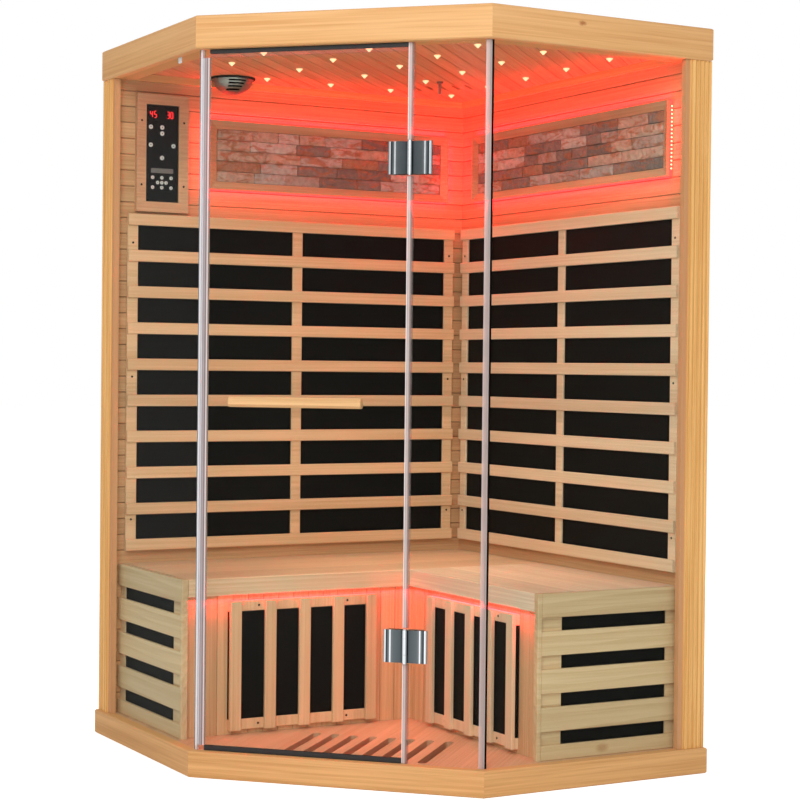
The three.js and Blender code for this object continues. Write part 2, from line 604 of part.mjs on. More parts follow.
function addHinge(name, middle) {
  const face = FRONT_FACE - GAP - HINGE.plate;
  const axis = [HINGE.x, face];
  const half = HINGE.height / 2;
  const inner = KNUCKLE.middle / 2;
  const [low, high] = [middle - half, middle + half];
  const barrel = (span, extra = 0) => rod('z', KNUCKLE.radius + extra, axis, span, KNUCKLE.sides);
  const bore = rod('z', KNUCKLE.bore, axis, [low - 1, high + 1], KNUCKLE.sides);
  const outerSpans = [[low, middle - inner], [middle + inner, high]];

  const fixedBody = join(hingeLeaf(1, [low, high]), ...outerSpans.map((span) => barrel(span)));
  const room = barrel([middle - inner, middle + inner], KNUCKLE.clearance);
  add(front, `${name}_hinge_fixed_leaf`, cut(fixedBody, room, bore), COLOUR.chrome, 0.12, 1);

  const doorSpan = [middle - inner + GAP, middle + inner - GAP];
  const besides = [[low - 1, doorSpan[0]], [doorSpan[1], high + 1]];
  const rooms = besides.map((span) => barrel(span, KNUCKLE.clearance));
  const doorBody = join(cut(hingeLeaf(-1, [low, high]), ...rooms), barrel(doorSpan));
  add(front, `${name}_hinge_door_leaf`, cut(doorBody, bore), COLOUR.chrome, 0.12, 1);

  const caps = [[low - GAP - HINGE_PIN.capHeight, low - GAP], [high + GAP, high + GAP + HINGE_PIN.capHeight]];
  const pin = rod('z', HINGE_PIN.radius, axis, [low - 1, high + 1], KNUCKLE.sides);
  const ends = caps.map((span) => rod('z', HINGE_PIN.cap, axis, span, KNUCKLE.sides));
  add(front, `${name}_hinge_pin`, join(pin, ...ends), COLOUR.chrome, 0.12, 1);
}

const BACK = {
  group: backSide,
  wall: 'back',
  end: 'left',
  wallEnd: WALL.inner - GAP,
  guard: [-545, 503],
  stone: [-302, 478],
  seed: 3,
  nosing: 80,
  seatEnd: WALL.inner - GAP,
  lipEnd: 121.5,
  frontEnd: 140,
  calf: -427,
};
const RIGHT = {
  group: rightSide,
  wall: 'right',
  end: 'right',
  wallEnd: WALL.outer,
  guard: [-556, 518],
  stone: [-508, 458],
  seed: 11,
  nosing: 110,
  seatEnd: BACK.nosing - GAP,
  lipEnd: BACK.nosing - GAP,
  frontEnd: BACK.nosing + BENCH.overhang - GAP,
  calf: -456,
};

addFloor();
addRoof();
addSpeaker();
for (const side of [BACK, RIGHT]) {
  addWall(side);
  addPost(side);
  addSideGlass(side);
  addWallHeater(side);
  addStone(side);
  addBench(side);
  addBenchEnd(side);
  addCalfHeater(side);
}
addControlPanel();
addFrontGlass();
addDoor();
for (const [name, middle] of Object.entries(HINGE_CENTRES)) addHinge(name, middle);

export default cabin;
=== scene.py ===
"""Corner infrared sauna cabin: finishes, stone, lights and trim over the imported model, in metres."""

import logging
import math
from dataclasses import dataclass
from enum import Enum

import bmesh
import bpy
from mathutils import Matrix, Vector


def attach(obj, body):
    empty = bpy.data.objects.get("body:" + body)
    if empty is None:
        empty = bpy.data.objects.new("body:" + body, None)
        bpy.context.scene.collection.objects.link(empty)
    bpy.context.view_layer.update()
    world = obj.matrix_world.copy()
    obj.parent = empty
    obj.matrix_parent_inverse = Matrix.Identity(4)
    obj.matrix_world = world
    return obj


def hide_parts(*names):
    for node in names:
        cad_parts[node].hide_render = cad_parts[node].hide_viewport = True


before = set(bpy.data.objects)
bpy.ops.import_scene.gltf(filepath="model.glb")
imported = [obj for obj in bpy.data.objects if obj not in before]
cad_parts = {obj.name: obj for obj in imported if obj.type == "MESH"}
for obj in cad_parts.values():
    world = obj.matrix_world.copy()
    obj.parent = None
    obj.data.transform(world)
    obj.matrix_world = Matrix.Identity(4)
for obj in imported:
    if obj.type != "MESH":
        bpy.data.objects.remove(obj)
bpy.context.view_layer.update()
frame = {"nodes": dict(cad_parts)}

LOG = logging.getLogger("sauna_cabin")
MM = 0.001
PER_M = 1000.0
DIAGONAL = 0.7071
FRONT_WAY = (DIAGONAL, -DIAGONAL, 0)
CORNER_WAY = (DIAGONAL, DIAGONAL, 0)
FRONT_TURN = Matrix.Rotation(-math.pi / 4, 4, "Z")
NO_TURN = Matrix.Identity(4)
UP = Vector((0, 0, 1))
WHITE = (1, 1, 1, 1)
STONE_TINT = "stone_tint"
CABIN = "cabin"
DOOR = "door"

BMesh = bmesh.types.BMesh
Material = bpy.types.Material
Node = bpy.types.Node
Socket = bpy.types.NodeSocket
Tree = bpy.types.NodeTree
Span = tuple[float, float]
Triple = tuple[float, float, float]
Colour = tuple[float, float, float, float]
Tones = tuple[str, str]
Corners = tuple[Vector, Vector]


def linear(code: str) -> Colour:
    """Turns an sRGB hex colour to linear.

    Args:
        code: a colour such as "#e6b878".

    Returns:
        Linear red, green, blue and an alpha of 1.
    """
    channels = [int(code[i : i + 2], 16) / 255 for i in (1, 3, 5)]
    red, green, blue = (c / 12.92 if c <= 0.04045 else ((c + 0.055) / 1.055) ** 2.4 for c in channels)
    return red, green, blue, 1.0


def scatter(seed: float) -> float:
    """A number from 0 to 1 that looks random and is the same in every run."""
    value = math.sin(seed * 12.9898) * 43758.5453
    return value - math.floor(value)


def widened(span: Span, by: float) -> Span:
    """A span that reaches further at both ends."""
    return span[0] - by, span[1] + by


def add_node(tree: Tree, kind: str, settings: dict, links: dict) -> Node:
    """Adds a node with its settings and links.

    Args:
        tree: the tree that takes the node.
        kind: the node's type name, less the ShaderNode that each starts with.
        settings: property names, or input names or numbers, with their values.
        links: input names or numbers with the socket that feeds each, or the node whose first output does.

    Returns:
        The new node.
    """
    node = tree.nodes.new(f"ShaderNode{kind}")
    for key, value in settings.items():
        if isinstance(key, str) and hasattr(node, key):
            setattr(node, key, value)
        else:
            node.inputs[key].default_value = value
    for key, source in links.items():
        tree.links.new(source.outputs[0] if isinstance(source, Node) else source, node.inputs[key])
    return node


def new_material(name: str) -> tuple[Material, Tree]:
    """Makes an empty material.

    Args:
        name: the material's name.

    Returns:
        The material and its tree.
    """
    material = bpy.data.materials.new(name)
    material.use_nodes = True
    material.node_tree.nodes.clear()
    return material, material.node_tree


class Grain(Enum):
    """Direction of a board's fibres, with the two directions across it."""

    X = ((1, 0, 0), (0, 1, 0), (0, 0, 1))
    Y = ((0, 1, 0), (1, 0, 0), (0, 0, 1))
    Z = ((0, 0, 1), (1, 0, 0), (0, 1, 0))
    ALONG_FRONT = (FRONT_WAY, CORNER_WAY, (0, 0, 1))
    INTO_CORNER = (CORNER_WAY, FRONT_WAY, (0, 0, 1))
    ROUND = None

    def millimetres(self, tree: Tree) -> list[Socket]:
        """Adds the three places in millimetres: along the fibres, and twice across them.

        Args:
            tree: the material's tree.

        Returns:
            The sockets. ROUND follows the level direction of each face, for boards that go round the cabin.
        """
        source = add_node(tree, "TexCoord", {}, {})
        normal = source.outputs["Normal"]
        to_mm = {"operation": "MULTIPLY", 1: (PER_M, PER_M, PER_M)}
        scaled = add_node(tree, "VectorMath", to_mm, {0: source.outputs["Object"]})
        if self is Grain.ROUND:
            level = add_node(tree, "VectorMath", {"operation": "CROSS_PRODUCT", 1: UP}, {0: normal})
            axes = [({}, {1: level}), ({}, {1: normal}), ({1: UP}, {})]
        else:
            axes = [({1: direction}, {}) for direction in self.value]
        places = []
        for fixed, fed in axes:
            dot = add_node(tree, "VectorMath", {"operation": "DOT_PRODUCT", **fixed}, {0: scaled, **fed})
            places.append(dot.outputs["Value"])
        return places


@dataclass(frozen=True)
class Hemlock:
    """Planed hemlock boards: fine streaks along the fibres, faint growth rings, and a tone for each board.

    Real growth lines are 1 to 3 mm apart, too fine to show here, so the streaks are drawn 5 mm wide.
    """

    name: str
    pale: str
    dark: str
    grain: Grain
    board_across: int = 2
    board_mm: float = 44.0
    board_start_mm: float = 0.0
    board_shift_mm: float = 9000.0
    tone: float = 0.08
    roughness: float = 0.5
    streak_mm: float = 5.0
    streak_length_mm: float = 420.0
    contrast: Span = (0.34, 0.68)
    ring_mm: float = 11.0
    heart_mm: float = 160.0
    wave_period: float = 0.314
    figure: float = 0.35
    arch: float = 0.012
    joint_mm: float = 0.0
    joint_shade: float = 0.48
    # width and colour of the painted shade on the strip beside a post's step
    step_shade_mm: float = 0.0
    step_shade: str = "#c08c66"
    knots: tuple[Triple, ...] = ()
    knot: str = "#9c5c2c"
    knot_mm: Span = (1.5, 8.5)
    knot_ragged_mm: float = 6.0

    def make(self) -> Material:
        """Builds the material.

        Returns:
            A material that varies from board to board and along the fibres.
        """
        material, tree = new_material(self.name)
        places = self.grain.millimetres(tree)
        across = places[self.board_across]
        shifted = add_node(tree, "Math", {"operation": "SUBTRACT", 1: self.board_start_mm}, {0: across})
        boards = add_node(tree, "Math", {"operation": "DIVIDE", 1: self.board_mm}, {0: shifted})
        number = add_node(tree, "Math", {"operation": "FLOOR"}, {0: boards})
        chance = add_node(tree, "TexWhiteNoise", {"noise_dimensions": "1D"}, {"W": number})
        offset = add_node(tree, "Math", {"operation": "MULTIPLY", 1: self.board_shift_mm}, {0: chance})
        start = add_node(tree, "Math", {"operation": "ADD"}, {0: places[0], 1: offset})
        fibres = add_node(tree, "CombineXYZ", {}, {"X": start, "Y": places[1], "Z": places[2]})
        streaks = []
        for wider, longer in ((1, 1), (6, 2)):
            width, length = wider * self.streak_mm, longer * self.streak_length_mm
            stretch = {"operation": "MULTIPLY", 1: (1 / length, 1 / width, 1 / width)}
            stretched = add_node(tree, "VectorMath", stretch, {0: fibres})
            noise = {"Scale": 1.0, "Detail": 3.0, "Roughness": 0.6, "Distortion": 0.2}
            streaks.append(add_node(tree, "TexNoise", noise, {"Vector": stretched}))
        fine, broad = streaks
        streaked = add_node(tree, "Mix", {"data_type": "FLOAT", 0: 0.4}, {2: fine, 3: broad})
        low, high = self.contrast
        sharper = {"interpolation_type": "SMOOTHSTEP", "From Min": low, "From Max": high}
        lines = add_node(tree, "MapRange", sharper, {"Value": streaked})
        rings = self.add_rings(tree, fibres, chance.outputs["Color"])
        both = add_node(tree, "Mix", {"data_type": "FLOAT", 0: self.figure}, {2: lines, 3: rings})
        tones = {"data_type": "RGBA", 6: linear(self.pale), 7: linear(self.dark)}
        colour = add_node(tree, "Mix", tones, {0: both}).outputs[2]
        spread = {"To Min": 1 - self.tone, "To Max": 1 + self.tone}
        tone = add_node(tree, "MapRange", spread, {"Value": chance})
        wood = add_node(tree, "VectorMath", {"operation": "SCALE"}, {0: colour, "Scale": tone}).outputs[0]
        wood = self.add_joints(tree, boards.outputs[0], wood)
        wood = self.add_knots(tree, places, wood)
        wood = self.add_step_shade(tree, across, wood)
        relief = add_node(tree, "Bump", {"Strength": 0.1, "Distance": 0.5 * MM}, {"Height": fine})
        planed = {"Roughness": self.roughness, "IOR": 1.45, "Specular IOR Level": 0.3}
        shader = add_node(tree, "BsdfPrincipled", planed, {"Base Color": wood, "Normal": relief})
        add_node(tree, "OutputMaterial", {}, {"Surface": shader})
        return material

    def add_rings(self, tree: Tree, fibres: Node, chance: Socket) -> Socket:
        """Adds the figure of growth rings, which a board cut beside the heart shows as long arches.

        Args:
            tree: the material's tree.
            fibres: place along and across the fibres, in millimetres.
            chance: three numbers from 0 to 1 that are the board's own.

        Returns:
            A socket from 0 for early wood to 1 for late wood.
        """
        aside = {"operation": "MULTIPLY", 1: (0, self.heart_mm, self.heart_mm)}
        lean = add_node(tree, "VectorMath", aside, {0: chance})
        moved = add_node(tree, "VectorMath", {"operation": "ADD"}, {0: fibres, 1: lean})
        round_heart = self.wave_period / self.ring_mm
        stretch = {"operation": "MULTIPLY", 1: (self.arch / self.ring_mm, round_heart, round_heart)}
        scaled = add_node(tree, "VectorMath", stretch, {0: moved})
        kind = {"wave_type": "RINGS", "rings_direction": "X", "wave_profile": "SAW", "Scale": 1.0}
        bend = {"Distortion": 9.0, "Detail": 2.0, "Detail Scale": 0.35, "Detail Roughness": 0.55}
        return add_node(tree, "TexWave", {**kind, **bend}, {"Vector": scaled}).outputs["Fac"]

    def add_joints(self, tree: Tree, boards: Socket, colour: Socket) -> Socket:
        """Adds the dark line where two boards meet.

        Args:
            tree: the material's tree.
            boards: place across the boards, in boards.
            colour: the wood's colour.

        Returns:
            The colour's socket with the lines, or as it was where the boards meet without one.
        """
        if not self.joint_mm:
            return colour
        share = add_node(tree, "Math", {"operation": "PINGPONG", 1: 0.5}, {0: boards})
        reach = self.joint_mm / self.board_mm
        limits = {"From Min": 0.4 * reach, "From Max": reach, "To Min": self.joint_shade}
        line = add_node(tree, "MapRange", limits, {"Value": share})
        return add_node(tree, "VectorMath", {"operation": "SCALE"}, {0: colour, "Scale": line}).outputs[0]

    def add_knots(self, tree: Tree, places: list[Socket], colour: Socket) -> Socket:
        """Adds pin knots: a dark heart that fades along the fibres.

        Args:
            tree: the material's tree.
            places: the three places along and across the fibres, in millimetres.
            colour: the wood's colour.

        Returns:
            The colour's socket with the knots, or as it was where the piece has none.
        """
        near, far = (edge + self.knot_ragged_mm / 2 for edge in self.knot_mm)
        ends = {"From Min": near, "From Max": far, "To Min": 0.8, "To Max": 0.0}
        fade = {"interpolation_type": "SMOOTHSTEP", **ends}
        for knot in self.knots:
            here = add_node(tree, "CombineXYZ", {}, dict(enumerate(places)))
            apart = add_node(tree, "VectorMath", {"operation": "SUBTRACT", 1: knot}, {0: here})
            oval = add_node(tree, "VectorMath", {"operation": "MULTIPLY", 1: (0.55, 1, 1)}, {0: apart})
            ripple = add_node(tree, "TexNoise", {"Scale": 0.3, "Detail": 2.0}, {"Vector": oval})
            size = add_node(tree, "VectorMath", {"operation": "LENGTH"}, {0: oval}).outputs["Value"]
            ragged = {"operation": "MULTIPLY_ADD", 1: self.knot_ragged_mm}
            away = add_node(tree, "Math", ragged, {0: ripple, 2: size})
            share = add_node(tree, "MapRange", fade, {"Value": away})
            tint = {"data_type": "RGBA", 7: linear(self.knot)}
            colour = add_node(tree, "Mix", tint, {0: share, 6: colour}).outputs[2]
        return colour

    def add_step_shade(self, tree: Tree, across: Socket, colour: Socket) -> Socket:
        """Tints the strip beside the step in a post's face with painted shade: a darker, redder tone where
        the step falls into shadow.

        Args:
            tree: the material's tree.
            across: place across the post, in millimetres.
            colour: the wood's colour.

        Returns:
            The colour's socket with the strip, or as it was where the piece has no rebate.
        """
        if not self.step_shade_mm:
            return colour
        # painted shade on the strip beside the step
        beside = add_node(tree, "Math", {"operation": "LESS_THAN", 1: self.step_shade_mm}, {0: across})
        share = add_node(tree, "Math", {"operation": "MULTIPLY", 1: 0.8}, {0: beside})
        strip = {"data_type": "RGBA", 7: linear(self.step_shade)}
        return add_node(tree, "Mix", strip, {0: share, 6: colour}).outputs[2]


@dataclass(frozen=True)
class Moulded:
    """Moulded or coated surface: one colour with a faint unevenness of tone and gloss, of a given grit."""

    name: str
    colour: str
    roughness: float
    metallic: float = 0.0
    grit_mm: float = 6.0
    unevenness: float = 0.12
    specular: float = 0.5

    def make(self) -> Material:
        """Builds the material.

        Returns:
            A material whose tone and gloss waver by the grit.
        """
        material, tree = new_material(self.name)
        place = add_node(tree, "TexCoord", {}, {}).outputs["Object"]
        noise = add_node(tree, "TexNoise", {"Scale": PER_M / self.grit_mm, "Detail": 3.0}, {"Vector": place})
        full = linear(self.colour)
        dim = (*[(1 - self.unevenness) * channel for channel in full[:3]], 1.0)
        colour = add_node(tree, "Mix", {"data_type": "RGBA", 6: dim, 7: full}, {0: noise}).outputs[2]
        limits = {"To Min": self.roughness * 0.8, "To Max": self.roughness * 1.2}
        gloss = add_node(tree, "MapRange", limits, {"Value": noise})
        body = {"Metallic": self.metallic, "Specular IOR Level": self.specular}
        shader = add_node(tree, "BsdfPrincipled", body, {"Base Color": colour, "Roughness": gloss})
        add_node(tree, "OutputMaterial", {}, {"Surface": shader})
        return material


@dataclass(frozen=True)
class ToughenedGlass:
    """Polished low-glare float glass: clear, with a weak reflection that grows at grazing angles."""

    name: str = "toughened_float_glass"
    tint: str = "#f7fbf9"
    ior: float = 1.45
    low_glare: float = 0.08

    def make(self) -> Material:
        """Builds the material.

        Returns:
            A material that light passes straight through, and whose outer face alone reflects.
        """
        material, tree = new_material(self.name)
        clear = add_node(tree, "BsdfTransparent", {"Color": linear(self.tint)}, {})
        shine = add_node(tree, "BsdfGlossy", {"Roughness": 0.0}, {})
        mirror = add_node(tree, "Fresnel", {"IOR": self.ior}, {})
        back = add_node(tree, "NewGeometry", {}, {}).outputs["Backfacing"]
        facing = add_node(tree, "MapRange", {"To Min": self.low_glare, "To Max": 0.0}, {"Value": back})
        amount = add_node(tree, "Math", {"operation": "MULTIPLY"}, {0: mirror, 1: facing})
        pane = add_node(tree, "MixShader", {}, {0: amount, 1: clear, 2: shine})
        add_node(tree, "OutputMaterial", {}, {"Surface": pane})
        return material


@dataclass(frozen=True)
class ClearSeal:
    """Extruded clear PVC seal: glossy, and striped across its width with painted highlights, painted shade
    and painted refraction tints that stand for light through its hollow and solid walls.

    The stripes run along the strip. Each holds its share of the width, its colour and how clear it is.
    """

    name: str
    direction: Triple
    span: Span
    painted_light_bands: tuple[tuple[float, str, float], ...]

    def make(self) -> Material:
        """Builds the material.

        Returns:
            A material that is part solid and part clear, with its painted highlights and shade, by its
            stripes.
        """
        material, tree = new_material(self.name)
        place = add_node(tree, "TexCoord", {}, {}).outputs["Object"]
        way = {"operation": "DOT_PRODUCT", 1: tuple(PER_M * part for part in self.direction)}
        across = add_node(tree, "VectorMath", way, {0: place}).outputs["Value"]
        limits = {"From Min": self.span[0], "From Max": self.span[1]}
        share = add_node(tree, "MapRange", limits, {"Value": across})
        # painted highlights, painted shade and painted refraction tints, stripe by stripe across the width
        tint = add_node(tree, "ValToRGB", {}, {"Fac": share})
        stops = tint.color_ramp.elements
        while len(stops) < len(self.painted_light_bands):
            stops.new(1.0)
        for stop, (start, colour, clear) in zip(stops, self.painted_light_bands):
            stop.position = start
            stop.color = (*linear(colour)[:3], clear)
        body = add_node(tree, "BsdfPrincipled", {"Roughness": 0.2, "IOR": 1.5}, {"Base Color": tint})
        clear = add_node(tree, "BsdfTransparent", {}, {"Color": tint})
        mixed = add_node(tree, "MixShader", {}, {0: tint.outputs["Alpha"], 1: body, 2: clear})
        add_node(tree, "OutputMaterial", {}, {"Surface": mixed})
        return material


@dataclass(frozen=True)
class PolishedChrome:
    """Chrome plate on brass, with its reflections painted into the colour: painted dark reflections on the
    broad faces, and painted bright reflection lines on the eased edges.

    The painted stripes run along the hinge, and each holds its distance from the pin in millimetres and its
    colour.
    """

    name: str = "polished_chrome"
    pin_mm: float = 173.0
    wear_mm: float = 18.0
    painted_light_bands: tuple[tuple[float, str], ...] = (
        (0.0, "#d3d6d8"),
        (3.0, "#aab0b3"),
        (6.8, "#2b2f31"),
        (12.0, "#474d50"),
        (30.0, "#555b5d"),
        (35.4, "#6a6f72"),
        (36.6, "#d6d9db"),
        (38.6, "#cfd3d5"),
        (40.0, "#6f7578"),
        (45.0, "#3a3f41"),
        (48.2, "#34383b"),
        (49.2, "#e2e5e6"),
        (52.0, "#b9bdc0"),
        (55.0, "#4e5254"),
    )

    def make(self) -> Material:
        """Builds the material.

        Returns:
            A metal whose colour, with its painted reflections, goes by the distance from the pin.
        """
        material, tree = new_material(self.name)
        place = add_node(tree, "TexCoord", {}, {}).outputs["Object"]
        front = {"operation": "DOT_PRODUCT", 1: tuple(PER_M * part for part in FRONT_WAY)}
        along = add_node(tree, "VectorMath", front, {0: place}).outputs["Value"]
        beside = add_node(tree, "Math", {"operation": "SUBTRACT", 1: self.pin_mm}, {0: along})
        away = add_node(tree, "Math", {"operation": "ABSOLUTE"}, {0: beside})
        reach = self.painted_light_bands[-1][0]
        share = add_node(tree, "Math", {"operation": "DIVIDE", 1: reach}, {0: away})
        # painted reflections: bright and dark stripes by the distance from the pin
        colour = add_node(tree, "ValToRGB", {}, {"Fac": share})
        stops = colour.color_ramp.elements
        while len(stops) < len(self.painted_light_bands):
            stops.new(1.0)
        for stop, (distance, shade) in zip(stops, self.painted_light_bands):
            stop.position = distance / reach
            stop.color = linear(shade)
        noise = add_node(tree, "TexNoise", {"Scale": PER_M / self.wear_mm, "Detail": 2.0}, {"Vector": place})
        gloss = add_node(tree, "MapRange", {"To Min": 0.08, "To Max": 0.2}, {"Value": noise})
        feeds = {"Base Color": colour, "Roughness": gloss}
        shader = add_node(tree, "BsdfPrincipled", {"Metallic": 1.0}, feeds)
        add_node(tree, "OutputMaterial", {}, {"Surface": shader})
        return material


@dataclass(frozen=True)
class Glow:
    """A lamp's face: one colour that gives light."""

    name: str
    colour: str
    strength: float

    def make(self) -> Material:
        """Builds the material.

        Returns:
            A material that glows evenly.
        """
        material, tree = new_material(self.name)
        lit = {"Base Color": linear(self.colour), "Emission Color": linear(self.colour)}
        shader = add_node(tree, "BsdfPrincipled", {**lit, "Emission Strength": self.strength}, {})
        add_node(tree, "OutputMaterial", {}, {"Surface": shader})
        return material


@dataclass(frozen=True)
class SplitSandstone:
    """Sandstone split along the bed: matt and grainy, each stone with its own tint and rusty iron veins."""

    name: str = "split_sandstone"
    mottle_mm: float = 14.0
    vein_mm: Triple = (70.0, 70.0, 22.0)
    iron: str = "#b0704f"

    def make(self) -> Material:
        """Builds the material.

        Returns:
            A material that takes each stone's tint from the mesh.
        """
        material, tree = new_material(self.name)
        place = add_node(tree, "TexCoord", {}, {}).outputs["Object"]
        tint = add_node(tree, "Attribute", {"attribute_name": STONE_TINT}, {})
        noise = {"Scale": PER_M / self.mottle_mm, "Detail": 5.0, "Roughness": 0.65}
        mottle = add_node(tree, "TexNoise", noise, {"Vector": place})
        depth = add_node(tree, "MapRange", {"To Min": 0.5, "To Max": 1.45}, {"Value": mottle})
        bed = {"operation": "MULTIPLY", 1: tuple(PER_M / width for width in self.vein_mm)}
        layers = add_node(tree, "VectorMath", bed, {0: place})
        folded = {"Scale": 1.0, "Detail": 4.0, "Distortion": 1.6}
        veins = add_node(tree, "TexNoise", folded, {"Vector": layers})
        rusty = {"From Min": 0.5, "From Max": 0.62, "To Max": 0.75}
        stain = add_node(tree, "MapRange", rusty, {"Value": veins})
        iron = {"data_type": "RGBA", 7: linear(self.iron)}
        mixed = add_node(tree, "Mix", iron, {0: stain, 6: tint.outputs["Color"]}).outputs[2]
        toned = add_node(tree, "VectorMath", {"operation": "SCALE"}, {0: mixed, "Scale": depth})
        relief = add_node(tree, "Bump", {"Strength": 0.5, "Distance": 1.5 * MM}, {"Height": mottle})
        matt = {"Roughness": 0.85, "Specular IOR Level": 0.25}
        shader = add_node(tree, "BsdfPrincipled", matt, {"Base Color": toned, "Normal": relief})
        add_node(tree, "OutputMaterial", {}, {"Surface": shader})
        return material


def box(x: Span, y: Span, z: Span) -> Corners:
    """Two opposite corners, in metres, of a block that is given in millimetres."""
    return Vector((x[0], y[0], z[0])) * MM, Vector((x[1], y[1], z[1])) * MM


class Side(Enum):
    """The two walls. A place on one is given along it, in from the origin and up, in millimetres."""

    BACK = "back"
    RIGHT = "right"

    def place(self, along: float, depth: float, height: float) -> Vector:
        """A place on this side, in metres."""
        plan = (along, depth) if self is Side.BACK else (depth, along)
        return Vector((*plan, height)) * MM

    def box(self, along: Span, depths: Span, heights: Span) -> Corners:
        """Two opposite corners of a block on this side, in metres."""
        return box(along, depths, heights) if self is Side.BACK else box(depths, along, heights)

    def facing(self, along: float, depth: float, height: float) -> Matrix:
        """A place on this side whose own Z looks into the cabin."""
        turn = Vector((0, -1, 0) if self is Side.BACK else (-1, 0, 0)).to_track_quat("Z", "Y")
        return Matrix.Translation(self.place(along, depth, height)) @ turn.to_matrix().to_4x4()


STONE_FRAMES: dict[Side, Span] = {Side.BACK: (-302.0, 478.0), Side.RIGHT: (-508.0, 458.0)}
STONE_HEIGHTS: Span = (1529.0, 1725.0)


def link(thing: bpy.types.Object) -> bpy.types.Object:
    """Puts an object into the scene."""
    bpy.context.scene.collection.objects.link(thing)
    return thing


def add_object(name: str, work: BMesh, material: Material, body: str = CABIN) -> bpy.types.Object:
    """Makes an object of a finished mesh, dresses it and sets it on a body.

    Args:
        name: the piece's name.
        work: the mesh, which is freed.
        material: the finish.
        body: the body that the piece rides on.

    Returns:
        The new piece.
    """
    bmesh.ops.recalc_face_normals(work, faces=work.faces[:])
    mesh = bpy.data.meshes.new(name)
    work.to_mesh(mesh)
    work.free()
    mesh.materials.append(material)
    piece = link(bpy.data.objects.new(name, mesh))
    LOG.info("%s rides on %s", name, body)
    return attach(piece, body)


def add_block(work: BMesh, corners: Corners, bevel_mm: float) -> None:
    """Adds a block with rounded edges.

    Args:
        work: the mesh that takes the block.
        corners: two opposite corners, in metres.
        bevel_mm: width of the rounding.
    """
    low, high = corners
    size = high - low
    centre = (high + low) / 2
    made = bmesh.ops.create_cube(work, size=1.0)["verts"]
    for vertex in made:
        vertex.co = Vector(part * abs(length) for part, length in zip(vertex.co, size)) + centre
    edges = list({edge for vertex in made for edge in vertex.link_edges})
    bmesh.ops.bevel(work, geom=edges, offset=bevel_mm * MM, segments=2, profile=0.5, affect="EDGES")


def add_bar(
    name: str,
    corners: Corners,
    bevel_mm: float,
    material: Material,
    body: str = CABIN,
    turn: Matrix = NO_TURN,
) -> None:
    """Adds a piece that is one block with rounded edges.

    Args:
        name: the piece's name.
        corners: two opposite corners, in metres.
        bevel_mm: width of the rounding.
        material: the finish.
        body: the body that the piece rides on.
        turn: how the block is turned about the origin.
    """
    work = bmesh.new()
    add_block(work, corners, bevel_mm)
    work.transform(turn)
    add_object(name, work, material, body)


def add_turned(work: BMesh, profile: list[Span], place: Matrix, sides: int = 20, ring: bool = False) -> None:
    """Adds a turned piece about the place's own Z.

    Args:
        work: the mesh that takes the piece.
        profile: radius and height pairs, in millimetres.
        place: where the piece stands, in metres.
        sides: faces round it.
        ring: True where the profile closes on itself, with no flat ends.
    """
    rings = []
    for radius, height in profile:
        angles = [2 * math.pi * i / sides for i in range(sides)]
        points = [Vector((radius * math.cos(a), radius * math.sin(a), height)) * MM for a in angles]
        rings.append([work.verts.new(place @ point) for point in points])
    pairs = list(zip(rings, rings[1:] + rings[:1])) if ring else list(zip(rings, rings[1:]))
    for lower, upper in pairs:
        for i in range(sides):
            j = (i + 1) % sides
            work.faces.new((lower[i], lower[j], upper[j], upper[i]))
    if not ring:
        work.faces.new(list(reversed(rings[0])))
        work.faces.new(rings[-1])


def dress(material: Material, *names: str) -> None:
    """Gives CAD nodes a finish.

    Args:
        material: the finish.
        names: the nodes.
    """
    for name in names:
        node = frame["nodes"][name]
        node.data.materials.clear()
        node.data.materials.append(material)
        LOG.info("%s takes %s", name, material.name)


